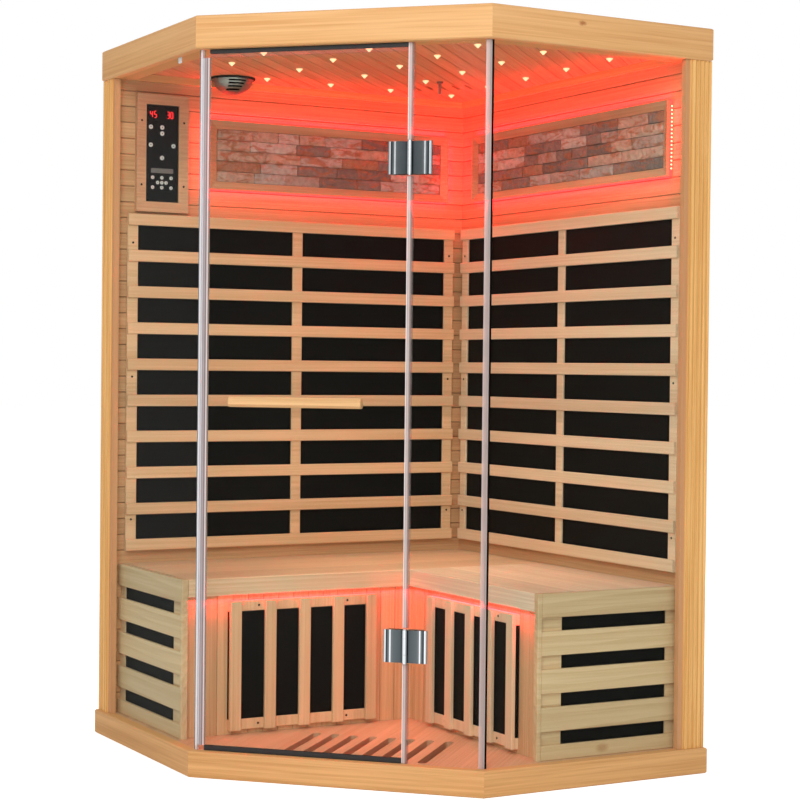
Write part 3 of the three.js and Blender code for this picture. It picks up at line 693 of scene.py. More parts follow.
@dataclass
class Timber:
    """Every wooden CAD piece: its pale and dark tones, and the direction and width of its boards."""

    inner: Tones = ("#dba97f", "#c08b60")
    frame: Tones = ("#dcab87", "#c28d69")
    front: Tones = ("#e8b88e", "#cf9b6e")
    guard: Tones = ("#f0c49c", "#dcab7f")
    pale_guard: Tones = ("#f6d5b4", "#e4bf9a")
    outer: Tones = ("#eebb81", "#d69c5f")
    post: Tones = ("#f8cb84", "#cf9246")
    bench: Tones = ("#e8c49b", "#d0a67b")
    seat: Tones = ("#efcca8", "#dab089")
    pale_seat: Tones = ("#f9e0c6", "#e2bfa0")
    plinth: Tones = ("#e0ae74", "#c28d53")
    handle: Tones = ("#e2b784", "#c79864")
    floor: Tones = ("#e6b594", "#cf9a74")
    fascia_knots: tuple[Triple, ...] = ((-196.0, 598.0, 1876.0),)
    end_knots: tuple[Triple, ...] = ((305.0, -562.0, 84.0),)
    pale_knot: str = "#c08e62"

    def clad(self, name: str, tones: Tones, grain: Grain, *nodes: str, **boards: float) -> None:
        """Dresses nodes, or the one that the wood is named for, in hemlock with the boards given."""
        dress(Hemlock(f"{name}_hemlock", *tones, grain, **boards).make(), *(nodes or (name,)))

    def build(self) -> None:
        """Dresses the wooden nodes."""
        self.dress_walls()
        self.dress_benches()
        self.dress_outside()

    def dress_walls(self) -> None:
        """Dresses the walls, the ceiling, the heater guards and the frames."""
        level = {"board_mm": 44.0, "board_start_mm": 30.0, "figure": 0.15, "joint_mm": 1.4}
        self.clad("back_wall", self.inner, Grain.X, **level)
        self.clad("right_wall", self.inner, Grain.Y, **level)
        overhead = {**level, "board_across": 1, "board_mm": 45.0, "board_start_mm": 19.0, "joint_mm": 1.6}
        self.clad("ceiling", self.inner, Grain.INTO_CORNER, "ceiling_panel", **overhead)
        slats = {"board_mm": 100.5, "board_start_mm": 480.0, "figure": 0.25}
        self.clad("back_guard", self.guard, Grain.X, "back_heater_guard", **slats)
        self.clad("right_guard", self.pale_guard, Grain.Y, "right_heater_guard", **slats)
        whole = {"board_mm": 400.0}
        self.clad("back_frame", self.frame, Grain.X, "back_stone_frame", "control_frame", **whole)
        self.clad("right_frame", self.frame, Grain.Y, "right_stone_frame", **whole)

    def dress_benches(self) -> None:
        """Dresses the seats, the bench fronts and ends, the calf guards and the floor."""
        planks = {"board_across": 1, "board_mm": 115.0}
        self.clad("back_seat", self.seat, Grain.X, **planks)
        self.clad("right_seat", self.pale_seat, Grain.Y, **planks)
        upright = {"board_mm": 44.0, "board_start_mm": -543.7, "figure": 0.2, "joint_mm": 1.0}
        self.clad("back_upright", self.front, Grain.Z, "back_bench_front", board_across=1, **upright)
        self.clad("right_upright", self.front, Grain.Z, "right_bench_front", board_across=2, **upright)
        ends = {"board_mm": 94.0, "board_start_mm": 14.0, "figure": 0.45, "ring_mm": 19.0, "arch": 0.09}
        self.clad("left_end", self.bench, Grain.Y, "left_bench_end", **ends)
        swirl = {"knots": self.end_knots, "knot": self.pale_knot, "knot_mm": (3.0, 15.0)}
        self.clad("right_end", self.bench, Grain.X, "right_bench_end", **ends, **swirl)
        calf = {"board_mm": 100.5, "figure": 0.3}
        back = {"board_across": 1, "board_start_mm": -460.0}
        self.clad("back_calf", self.guard, Grain.Z, "back_calf_guard", **calf, **back)
        right = {"board_across": 2, "board_start_mm": -490.0}
        self.clad("right_calf", self.pale_guard, Grain.Z, "right_calf_guard", **calf, **right)
        self.clad("floor", self.floor, Grain.INTO_CORNER, "floor_panel", board_across=1, board_mm=51.4)

    def dress_outside(self) -> None:
        """Dresses the fascia, the plinth, the posts, the handle and the roof cover."""
        broad = {"board_mm": 400.0, "figure": 0.22, "streak_mm": 6.0, "ring_mm": 16.0, "roughness": 0.62}
        self.clad("fascia", self.outer, Grain.ROUND, "roof_fascia", knots=self.fascia_knots, **broad)
        self.clad("plinth", self.plinth, Grain.ROUND, "base_tray", **broad)
        self.clad("handle", self.handle, Grain.ALONG_FRONT, "door_handle", **broad)
        # the strip beside each post's step takes painted shade
        narrow = {"board_mm": 900.0, "board_start_mm": -450.0, "step_shade_mm": 531.8}
        self.clad("left_post", self.post, Grain.Z, board_across=2, **narrow)
        self.clad("right_post", self.post, Grain.Z, board_across=1, **narrow)
        self.clad("cover", self.outer, Grain.X, "roof_cover", board_across=1, board_mm=120.0)


@dataclass
class GlassAndMetal:
    """Panes, seals, hinges, heaters and the small CAD pieces that aren't wood."""

    seal_proud: float = 2.0
    strip_proud: float = 1.0
    top_rounding: float = 1.2
    clear_rounding: float = 0.8
    pane: Span = (-444.35, -436.35)
    door_span: Span = (-349.0, 165.0)
    carrier_z: Span = (1797.3, 1808.5)
    top_seal: Span = (1807.5, 1817.2)
    upright: Span = (65.6, 1817.4)
    edge_seal: Span = (-366.0, -349.3)
    corner_seal: Span = (-61.6, -43.7)
    hinge_strip: Span = (165.5, 180.6)
    hinge_clear: tuple[Span, Span] = ((308.0, 396.0), (1494.0, 1582.0))
    strike_reach: Span = (43.7, 58.5)
    strike: tuple[Span, ...] = ((-577.0, -43.7), (-577.0, -58.5), (-565.0, -46.5), (-565.0, -43.7))

    def build(self) -> None:
        """Dresses the nodes and adds the strips that seal the door."""
        dress(ToughenedGlass().make(), "left_glass", "right_glass", "front_glass", "door_glass")
        parts = ("fixed_leaf", "door_leaf", "pin")
        hinges = [f"{place}_hinge_{part}" for place in ("upper", "lower") for part in parts]
        dress(PolishedChrome().make(), *hinges)
        film = Moulded("carbon_heater_film", "#131210", 0.55, grit_mm=3.0, unevenness=0.3, specular=0.08)
        dress(film.make(), "back_heater", "right_heater", "back_calf_heater", "right_calf_heater")
        dress(Moulded("painted_steel_casing", "#26272a", 0.5).make(), "power_unit")
        dress(Moulded("satin_silver_shell", "#96948d", 0.42, metallic=0.85).make(), "speaker")
        self.dress_seals()
        self.add_top_strips()
        self.add_hinge_strip()
        self.add_strike_strip()

    def dress_seals(self) -> None:
        """Dresses the corner seal and the seal on the door's free edge, whose pale stripes are painted
        highlights and whose grey and mauve stripes are painted refraction tints.
        """
        # painted highlights: pale stripes across the corner seal, which turns dark along its outer edge
        hollow_highlights = ((0.0, "#f6e6e1", 0.5), (0.2, "#d8c6c0", 0.5), (0.4, "#e2d0ca", 0.55))
        outer = ((0.64, "#f2dcd4", 0.45), (0.72, "#4a3a33", 0.9), (1.0, "#2e2420", 1.0))
        corner = ClearSeal("corner_pvc_seal", (1, 0, 0), self.corner_seal, hollow_highlights + outer)
        dress(corner.make(), "corner_seal")
        # painted highlights and painted refraction tints across the door seal
        walls = ((0.0, "#f2eef0", 0.1), (0.16, "#cfc9cc", 0.25), (0.3, "#a79d9f", 0.4))
        web_refraction = ((0.44, "#cdc1c2", 0.35), (0.6, "#b0a3a3", 0.5), (0.76, "#b5a7a6", 0.5))
        lip_highlight = ((0.86, "#fbf1ef", 0.15), (1.0, "#d5c8c5", 0.4))
        edge = ClearSeal("door_pvc_seal", FRONT_WAY, self.edge_seal, walls + web_refraction + lip_highlight)
        dress(edge.make(), "door_edge_seal")

    def add_top_strips(self) -> None:
        """Adds the rubber strip over the door and the clear carrier that holds it on the glass."""
        rubber = Moulded("black_epdm_rubber", "#161616", 0.6).make()
        dress(rubber, "door_bottom_seal")
        proud = box(self.door_span, widened(self.pane, self.seal_proud), self.top_seal)
        add_bar("door_top_seal", proud, self.top_rounding, rubber, DOOR, FRONT_TURN)
        bare = ((0.0, "#fbf3f3", 0.97), (1.0, "#fbf3f3", 0.97))
        clear = ClearSeal("carrier_pvc", (0, 0, 1), self.carrier_z, bare).make()
        carrier = box(self.door_span, self.pane, self.carrier_z)
        add_bar("door_top_carrier", carrier, self.clear_rounding, clear, DOOR, FRONT_TURN)

    def add_hinge_strip(self) -> None:
        """Adds the clear strip between the door and the fixed pane, in runs that leave the hinges free."""
        # painted highlights on the bulb, then painted refraction tints across the web and fin
        bulb_highlight = ((0.0, "#fff6f3", 0.1), (0.12, "#efe3df", 0.2), (0.22, "#c3b7b3", 0.4))
        web_refraction = ((0.36, "#d9cdc8", 0.3), (0.54, "#d2c5c0", 0.35))
        fin_refraction = ((0.66, "#c8bcb6", 0.8), (1.0, "#f4ecea", 0.95))
        clear = ClearSeal("hinge_pvc_seal", FRONT_WAY, self.hinge_strip, bulb_highlight + web_refraction + fin_refraction).make()
        work = bmesh.new()
        stops = [self.upright[0], *[z for span in self.hinge_clear for z in span], self.upright[1]]
        depths = widened(self.pane, self.strip_proud)
        for run in zip(stops[::2], stops[1::2]):
            add_block(work, box(self.hinge_strip, depths, run), self.clear_rounding)
        work.transform(FRONT_TURN)
        add_object("hinge_side_seal", work, clear)

    def add_strike_strip(self) -> None:
        """Adds the clear strip on the left pane that the door's free edge meets."""
        # painted shade, then a painted highlight on the lip
        shade = ((0.0, "#625e63", 0.3), (0.28, "#8a868b", 0.25))
        lip_highlight = ((0.42, "#fdfcff", 0.05), (1.0, "#f1eff3", 0.1))
        clear = ClearSeal("strike_pvc_seal", (0, -1, 0), self.strike_reach, shade + lip_highlight).make()
        work = bmesh.new()
        rings = [[work.verts.new(Vector((x, y, z)) * MM) for x, y in self.strike] for z in self.upright]
        for i in range(len(self.strike)):
            j = (i + 1) % len(self.strike)
            work.faces.new((rings[0][i], rings[0][j], rings[1][j], rings[1][i]))
        for ring in rings:
            work.faces.new(ring)
        add_object("strike_seal", work, clear)


@dataclass
class StoneBand:
    """Split stones in courses on one wall. They follow the same lengths as the solid that they stand for."""

    side: Side
    seed: int
    row_seed: int = 17
    frame_mm: float = 23.3
    back: float = 539.7
    backing: float = 6.0
    joint: float = 1.5
    courses: int = 5
    least: float = 64.0
    spread: float = 96.0
    depths: Span = (3.0, 7.0)
    grid: float = 7.0
    split: float = 2.6
    bow: float = 1.4
    bow_length: float = 19.0
    eased: float = 1.6
    tints: tuple[str, ...] = (
        "#b89c91", "#85746e", "#cdbab1", "#b1826b", "#beada5", "#998077", "#c6a593", "#927e77"
    )

    def build(self, material: Material) -> None:
        """Builds the stones and lets them stand for the wall's stone node.

        Args:
            material: the stone's finish.
        """
        work = bmesh.new()
        tint = work.verts.layers.float_color.new(STONE_TINT)
        x0, x1 = widened(STONE_FRAMES[self.side], -self.frame_mm)
        z0, z1 = widened(STONE_HEIGHTS, -self.frame_mm)
        course = (z1 - z0) / self.courses
        thin, thick = self.depths
        for row in range(self.courses):
            seed = self.seed + row * self.row_seed
            start, i = x0 + self.joint, 0
            heights = (z0 + row * course + self.joint / 2, z0 + (row + 1) * course - self.joint / 2)
            while start < x1 - self.joint:
                end = start + self.least + self.spread * scatter(seed + i)
                end = x1 if end > x1 - self.least else end
                depth = thin + (thick - thin) * scatter(seed + i + 0.5)
                shade = linear(self.tints[int(scatter(seed + i + 0.25) * len(self.tints))])
                self.add_stone(work, tint, (start, end - self.joint), heights, depth, shade, seed + i)
                start, i = end, i + 1
        name = f"{self.side.value}_stone"
        piece = add_object(f"{name}_strips", work, material)
        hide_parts(name)

    def add_stone(
        self,
        work: BMesh,
        tint: bmesh.types.BMLayerItem,
        along: Span,
        heights: Span,
        depth: float,
        shade: Colour,
        seed: float,
    ) -> None:
        """Adds one stone with an uneven split face.

        Args:
            work: the mesh that takes the stone.
            tint: layer of the stone's colour.
            along: its ends along the wall.
            heights: its bottom and top.
            depth: how far it stands out of the backing.
            shade: its linear colour.
            seed: number that settles its face.
        """
        columns = max(2, round((along[1] - along[0]) / self.grid))
        rows = max(2, round((heights[1] - heights[0]) / self.grid))
        grid = []
        for r in range(rows + 1):
            line = []
            for c in range(columns + 1):
                u = along[0] + (along[1] - along[0]) * c / columns
                v = heights[0] + (heights[1] - heights[0]) * r / rows
                edge = r in (0, rows) or c in (0, columns)
                rough = self.split * (scatter(seed * 3.1 + c * 7.7 + r * 13.3) - 0.5)
                rough += self.bow * math.sin(u / self.bow_length + seed * 5)
                proud = max(1.0, depth + rough - (self.eased if edge else 0.0))
                line.append(work.verts.new(self.side.place(u, self.back - self.backing - proud, v)))
            grid.append(line)
        for lower, upper in zip(grid, grid[1:]):
            for c in range(columns):
                work.faces.new((lower[c], lower[c + 1], upper[c + 1], upper[c]))
        ends = [line[-1] for line in grid[1:]], [line[0] for line in grid[-2:0:-1]]
        rim = [*grid[0], *ends[0], *reversed(grid[-1][:-1]), *ends[1]]
        behind = []
        for vertex in rim:
            flat = vertex.co.copy()
            flat[1 if self.side is Side.BACK else 0] = self.back * MM
            behind.append(work.verts.new(flat))
        for i in range(len(rim)):
            j = (i + 1) % len(rim)
            work.faces.new((rim[i], behind[i], behind[j], rim[j]))
        work.faces.new(behind)
        for vertex in [*behind, *[vertex for line in grid for vertex in line]]:
            vertex[tint] = shade


@dataclass(frozen=True)
class SoftLamp:
    """The light of a tape or of the stars: a soft lamp that gives light one way, and isn't seen itself."""

    name: str
    length: float
    width: float
    watts: float
    colour: str = "#ff162c"
    spread_degrees: float = 180.0

    def set(self, place: Vector, facing: Vector, along: Vector) -> None:
        """Sets the lamp in the cabin.

        Args:
            place: its middle, in metres.
            facing: the way it gives light.
            along: the way it runs.
        """
        data = bpy.data.lights.new(self.name, "AREA")
        data.shape = "RECTANGLE"
        data.size = self.length * MM
        data.size_y = self.width * MM
        data.energy = self.watts
        data.color = linear(self.colour)[:3]
        data.spread = math.radians(self.spread_degrees)
        lamp = link(bpy.data.objects.new(self.name, data))
        axes = Matrix((along, -along.cross(facing), -facing)).transposed()
        lamp.matrix_world = Matrix.Translation(place) @ axes.to_4x4()
        lamp.visible_camera = False
        lamp.visible_glossy = False


@dataclass
class LightStrips:
    """Red light strips round the stone frames and under the nosings, and the star lights in the ceiling."""

    red: str = "#ff4a44"
    tape_strength: float = 1.4
    tape_gap: float = 0.2
    tape_out: float = 3.0
    depths: Span = (531.0, 539.4)
    nosings: tuple[tuple[Side, Span, float], ...] = (
        (Side.BACK, (-540.0, 118.0), 95.0),
        (Side.RIGHT, (-540.0, 78.0), 125.0),
    )
    nosing_z: Span = (433.0, 440.0)
    nosing_tape: Span = (0.3, 2.6)
    nosing_lamp: Span = (8.0, 422.0)
    nosing_rounding: float = 0.5
    tape_rounding: float = 0.6
    diode_rounding: float = 0.5
    diode_pitch: float = 10.0
    diode: float = 4.0
    diode_out: Span = (1.2, 0.2)
    lamp_width: float = 8.0
    top_lamp: Span = (531.0, 5.0)
    low_lamp: Span = (522.0, 7.0)
    end_lamp: Span = (529.0, 7.0)
    ceiling_lamp: float = 640.0
    ceiling_place_m: Triple = (0.06, 0.08, 1.5)
    star_lamp: float = 760.0
    star_place_m: Triple = (0.14, 0.04, 1.8)
    star_spread_degrees: float = 50.0
    top_watts_per_m: float = 2.6
    low_watts_per_m: float = 1.6
    end_watts: float = 0.45
    nosing_watts: float = 1.1
    ceiling_watts: float = 0.4
    star_watts: float = 1.25
    star_grid_x: tuple[float, ...] = (-380.0, -180.0, 20.0, 215.0, 420.0)
    star_grid_y: tuple[float, ...] = (410.0, 205.0, 5.0, -195.0, -395.0)
    unlit: tuple[Span, ...] = ((-380.0, -195.0), (-380.0, -395.0), (-180.0, -395.0), (-380.0, 410.0))
    star_profile: tuple[Span, ...] = ((1.6, -9.0), (4.0, -6.0), (8.6, -1.8), (8.6, 0.0))
    ceiling: float = 1836.8

    def build(self) -> None:
        """Builds the strips and the stars."""
        band = Glow("red_light_tape", self.red, self.tape_strength).make()
        diodes = Glow("warm_light_diode", "#ffd7a2", 2.5).make()
        for side, along in STONE_FRAMES.items():
            self.add_tapes(side, along, band)
            self.add_diodes(side, along[0] - self.tape_out, diodes)
            self.light_frame(side, along)
        for side, along, panel in self.nosings:
            name = f"{side.value}_nosing"
            near, far = self.nosing_tape
            corners = side.box(along, (panel - far, panel - near), self.nosing_z)
            add_bar(f"{name}_light", corners, self.nosing_rounding, band)
            depth, height = panel - self.nosing_lamp[0], self.nosing_lamp[1]
            lamp = SoftLamp(f"{name}_lamp", along[1] - along[0], self.lamp_width, self.nosing_watts)
            lamp.set(side.place(sum(along) / 2, depth, height), -UP, side.place(PER_M, 0, 0))
        soft = SoftLamp("ceiling_glow_lamp", self.ceiling_lamp, self.ceiling_lamp, self.ceiling_watts)
        soft.set(Vector(self.ceiling_place_m), UP, Vector((1, 0, 0)))
        self.add_stars()

    def add_tapes(self, side: Side, along: Span, material: Material) -> None:
        """Adds light tapes on the four outer sides of one stone frame.

        Args:
            side: the wall.
            along: the frame's ends.
            material: the lit finish.
        """
        work = bmesh.new()
        near, far = self.tape_gap, self.tape_out
        (a0, a1), (z0, z1) = along, STONE_HEIGHTS
        level = (along, (z1 + near, z1 + far)), (along, (z0 - far, z0 - near))
        upright = ((a0 - far, a0 - near), STONE_HEIGHTS), ((a1 + near, a1 + far), STONE_HEIGHTS)
        for ends, heights in level + upright:
            add_block(work, side.box(ends, self.depths, heights), self.tape_rounding)
        add_object(f"{side.value}_frame_light", work, material)

    def add_diodes(self, side: Side, end: float, material: Material) -> None:
        """Adds the row of diodes on the tape at a frame's near end.

        Args:
            side: the wall.
            end: the tape's face along the wall.
            material: the lit finish.
        """
        work = bmesh.new()
        half = self.diode / 2
        out, into = self.diode_out
        middle = sum(self.depths) / 2
        across = widened((middle, middle), half)
        height = STONE_HEIGHTS[0] + 2 * self.diode_pitch
        while height < STONE_HEIGHTS[1] - self.diode_pitch:
            lens = side.box((end - out, end + into), across, widened((height, height), half))
            add_block(work, lens, self.diode_rounding)
            height += self.diode_pitch
        add_object(f"{side.value}_frame_diodes", work, material)

    def light_frame(self, side: Side, along: Span) -> None:
        """Sets the lamps that stand for the tapes round one stone frame.

        Args:
            side: the wall.
            along: the frame's ends.
        """
        (a0, a1), (z0, z1) = along, STONE_HEIGHTS
        middle, length = (a0 + a1) / 2, a1 - a0
        run, into_wall = side.place(PER_M, 0, 0), side.place(0, PER_M, 0)
        width, metres = self.lamp_width, length * MM
        depth, out = self.top_lamp
        top = SoftLamp(f"{side.value}_top_lamp", length, width, self.top_watts_per_m * metres)
        top.set(side.place(middle, depth, z1 + out), UP, run)
        depth, out = self.low_lamp
        low = SoftLamp(f"{side.value}_low_lamp", length, width, self.low_watts_per_m * metres)
        low.set(side.place(middle, depth, z0 - out), into_wall, run)
        depth, out = self.end_lamp
        for end, way in ((a0 - out, -1), (a1 + out, 1)):
            lamp = SoftLamp(f"{side.value}_end_lamp_{way + 2}", z1 - z0, width, self.end_watts)
            lamp.set(side.place(end, depth, (z0 + z1) / 2), run * way, UP)

    def add_stars(self) -> None:
        """Adds a frosted lens with a broad flange at each lit place of the ceiling's grid, and its light."""
        work = bmesh.new()
        grid = [(x, y) for x in self.star_grid_x for y in self.star_grid_y if (x, y) not in self.unlit]
        for x, y in grid:
            place = Matrix.Translation(Vector((x, y, self.ceiling)) * MM)
            add_turned(work, self.star_profile, place, sides=16)
        add_object("ceiling_star_lights", work, Glow("frosted_acrylic_lens", "#ffd6a6", 1.05).make())
        size, spread = self.star_lamp, self.star_spread_degrees
        lamp = SoftLamp("star_light_lamp", size, size, self.star_watts, "#ffe4c8", spread)
        lamp.set(Vector(self.star_place_m), -UP, Vector((1, 0, 0)))


@dataclass
class ControlPanel:
    """Plate finish, keys, digit displays and text display of the control panel."""

    plate_front: float = 531.7
    digit_low: float = 1719.0
    digit_size: Span = (8.5, 20.0)
    stroke: float = 2.0
    windows: tuple[Span, ...] = ((-481.6, -457.6), (-431.0, -410.0))
    numbers: tuple[str, ...] = ("45", "30")
    centre: Span = (-444.5, 1620.5)
    key_front: float = 530.0
    control_keys: tuple[Span, ...] = (
        (-34.0, 73.0), (0.0, 73.0), (0.0, 56.0), (-34.0, 23.0), (34.0, 23.0), (0.0, -12.0)
    )
    control_radius: float = 4.5
    audio_radius: float = 3.4
    audio_steps: tuple[float, ...] = (27.5, 12.5, 27.5)
    audio_row: float = 13.7
    audio_middle: float = -81.0
    screen_x: Span = (-477.0, -411.0)
    screen_z: Span = (1566.0, 1579.0)
    screen_out: Span = (0.6, 0.2)
    screen_rounding: float = 0.3
    digit_out: Span = (0.5, 0.1)
    digit_rounding: float = 0.2
    ring_gap: float = 0.5
    ring_out: float = 1.7
    ring_rise: float = 0.2
    dot_shares: tuple[Span, ...] = ((0.36, -0.1), (0.36, 0.1), (0.3, 0.16))

    def build(self) -> None:
        """Dresses the panel's nodes and adds the displays."""
        acrylic = Moulded("gloss_black_acrylic", "#171415", 0.2, unevenness=0.05, specular=0.15)
        dress(acrylic.make(), "control_plate")
        self.add_keys()
        work = bmesh.new()
        for (left, right), digits in zip(self.windows, self.numbers):
            for place, digit in enumerate(digits):
                self.add_digit(work, left + place * (right - left) / len(digits), digit)
        add_object("panel_digits", work, Glow("red_display_segment", "#ff2a30", 1.6).make())
        smoked = Moulded("smoked_acrylic_screen", "#7d7875", 0.3, grit_mm=2.0, unevenness=0.4).make()
        out, into = self.screen_out
        depths = (self.plate_front - out, self.plate_front + into)
        add_bar("panel_text_screen", box(self.screen_x, depths, self.screen_z), self.screen_rounding, smoked)

    def add_keys(self) -> None:
        """Dresses the keys, and adds a printed ring round each and a dot on it, which moves with the key."""
        white = Moulded("satin_white_abs", "#e6e5e2", 0.4).make()
        ink = Moulded("black_key_ink", "#2a2829", 0.5).make()
        rows = zip((self.audio_row, 0.0, -self.audio_row), self.audio_steps)
        audio = [(step * place, self.audio_middle + rise) for rise, step in rows for place in (-1, 0, 1)]
        keys = [("control", i, place, self.control_radius) for i, place in enumerate(self.control_keys, 1)]
        keys += [("audio", i, place, self.audio_radius) for i, place in enumerate(audio, 1)]
        rings = bmesh.new()
        for kind, number, (across, rise), radius in keys:
            name = f"{kind}_key_{number}"
            dress(white, name)
            x, z = self.centre[0] + across, self.centre[1] + rise
            inner, outer, top = radius + self.ring_gap, radius + self.ring_out, self.ring_rise
            ring = [(inner, 0.0), (outer, 0.0), (outer, top), (inner, top)]
            add_turned(rings, ring, Side.BACK.facing(x, self.plate_front, z), sides=24, ring=True)
            dot = bmesh.new()
            cap = [(share * radius, height) for share, height in self.dot_shares]
            add_turned(dot, cap, Side.BACK.facing(x, self.key_front, z), sides=16)
            add_object(f"{name}_mark", dot, ink, f"{name}_body")
        add_object("panel_key_rings", rings, white)

    def add_digit(self, work: BMesh, x: float, digit: str) -> None:
        """Adds one seven-segment digit.

        Args:
            work: the mesh that takes the segments.
            x: the digit's left edge.
            digit: the number that shows.
        """
        lit = {"0": "abcdef", "3": "abcdg", "4": "bcfg", "5": "acdfg"}[digit]
        width, height = self.digit_size
        s, half = self.stroke, height / 2
        level, left, right = (s, width - s), (0, s), (width - s, width)
        boxes = {
            "a": (level, (height - s, height)),
            "g": (level, (half - s / 2, half + s / 2)),
            "d": (level, (0, s)),
            "f": (left, (half, height - s)),
            "b": (right, (half, height - s)),
            "e": (left, (s, half)),
            "c": (right, (s, half)),
        }
        depths = (self.plate_front - self.digit_out[0], self.plate_front + self.digit_out[1])
        for segment in lit:
            (u0, u1), (v0, v1) = boxes[segment]
            corners = box((x + u0, x + u1), depths, (self.digit_low + v0, self.digit_low + v1))
            add_block(work, corners, self.digit_rounding)


@dataclass
class SmallFittings:
    """Dark boards at the bench ends, dark liners and a dark sheet that are painted shade in the floor slots
    and the ceiling vents, the speaker's seat and inside, the probe, the screws and the clip.
    """

    bench_ends: tuple[tuple[str, Side, float], ...] = (
        ("left", Side.BACK, 156.4),
        ("right", Side.RIGHT, 186.4),
    )
    bench_end_x: Span = (-550.0, -546.0)
    bench_end_inner: float = 504.3
    bench_heights: Span = (66.0, 457.0)
    speaker: Triple = (-262.0, 463.0, 1836.7)
    speaker_inside: tuple[Span, ...] = ((53.0, -2.0), (40.0, -30.0), (8.0, -39.0))
    gasket: tuple[Span, ...] = (
        (58.5, -5.2), (62.4, -5.2), (63.6, -3.6), (63.6, -0.4), (62.4, 0.0), (58.5, 0.0)
    )
    probe: Triple = (258.0, 199.0, 1836.7)
    probe_profile: tuple[Span, ...] = ((3.0, -36.0), (4.0, -33.0), (4.0, -6.0), (9.0, -5.0), (9.0, 0.0))
    screw_profile: tuple[Span, ...] = ((1.2, 0.5), (2.0, 0.9), (3.2, 0.6), (3.2, -0.4))
    screws: tuple[tuple[Side, Span, float, tuple[float, ...]], ...] = (
        (Side.BACK, (-529.5, 487.5), 528.4, (600.0, 997.0, 1369.0)),
        (Side.RIGHT, (-540.5, 502.5), 528.4, (600.0, 997.0, 1369.0)),
        (Side.BACK, (-342.0, -80.0), 84.2, (91.0, 402.0)),
        (Side.RIGHT, (-371.0, -109.0), 114.2, (91.0, 402.0)),
        (Side.BACK, (-507.5, -381.5), 525.3, (1531.0, 1709.0)),
    )
    slot_count: int = 8
    slot_first: float = -150.0
    slot_pitch: float = 51.4
    slot_half: float = 11.0
    slot_span: Span = (-414.0, -146.0)
    # the dark liners in the floor slots and the dark sheet over the vents are painted shade
    slot_shade_liner_z: Span = (38.1, 40.0)
    vent_shade_sheet: tuple[Span, Span, Span] = ((-66.0, 102.0), (399.0, 495.0), (1852.1, 1853.6))
    clip: tuple[Span, Span, Span] = ((-580.0, -575.2), (77.0, 93.0), (1802.0, 1817.4))
    board_rounding: float = 0.5
    shade_liner_rounding: float = 0.4
    shade_sheet_rounding: float = 0.3
    clip_rounding: float = 1.5

    def build(self) -> None:
        """Builds the small pieces."""
        # a dark finish, also used for the painted shade in the floor slots and the ceiling vents
        black = Moulded("black_board_and_shade_liner", "#100e0c", 0.7, specular=0.05).make()
        for name, side, outer in self.bench_ends:
            corners = side.box(self.bench_end_x, (outer, self.bench_end_inner), self.bench_heights)
            add_bar(f"{name}_bench_end_backing", corners, self.board_rounding, black)
        self.add_slot_shade_liners(black)
        self.add_ceiling_fittings(black)
        self.add_screws()
        nylon = Moulded("white_nylon_clip", "#dfe0e2", 0.35).make()
        add_bar("pane_clip", box(*self.clip), self.clip_rounding, nylon)

    def add_slot_shade_liners(self, black: Material) -> None:
        """Adds a dark liner at the bottom of each floor slot and a dark sheet over the ceiling vents: painted
        shade in the slots and vents.

        Args:
            black: their finish.
        """
        work = bmesh.new()
        for i in range(self.slot_count):
            middle = self.slot_first + i * self.slot_pitch
            across = widened((middle, middle), self.slot_half)
            add_block(work, box(across, self.slot_span, self.slot_shade_liner_z), self.shade_liner_rounding)
        work.transform(FRONT_TURN)
        add_object("floor_slot_shade_liners", work, black)
        add_bar("vent_shade_sheet", box(*self.vent_shade_sheet), self.shade_sheet_rounding, black, turn=FRONT_TURN)

    def add_ceiling_fittings(self, black: Material) -> None:
        """Adds the speaker's gasket and dark inside, and the temperature probe.

        Args:
            black: finish of the speaker's inside.
        """
        foam = Moulded("black_foam_gasket", "#181716", 0.75).make()
        nickel = Moulded("nickel_plated_probe", "#8f8b86", 0.3, metallic=1.0).make()
        for name, profile, place, sides, ring, material in (
            ("speaker_inside", self.speaker_inside, self.speaker, 28, False, black),
            ("speaker_gasket", self.gasket, self.speaker, 40, True, foam),
            ("temperature_probe", self.probe_profile, self.probe, 14, False, nickel),
        ):
            work = bmesh.new()
            add_turned(work, profile, Matrix.Translation(Vector(place) * MM), sides, ring)
            add_object(name, work, material)

    def add_screws(self) -> None:
        """Adds the screws of the guards and of the control panel's frame."""
        work = bmesh.new()
        for side, ends, face, heights in self.screws:
            for along, z in [(along, z) for along in ends for z in heights]:
                add_turned(work, self.screw_profile, side.facing(along, face, z), sides=12)
        bronzed = Moulded("bronzed_steel_screw", "#33251b", 0.45, metallic=0.6).make()
        add_object("guard_screws", work, bronzed)


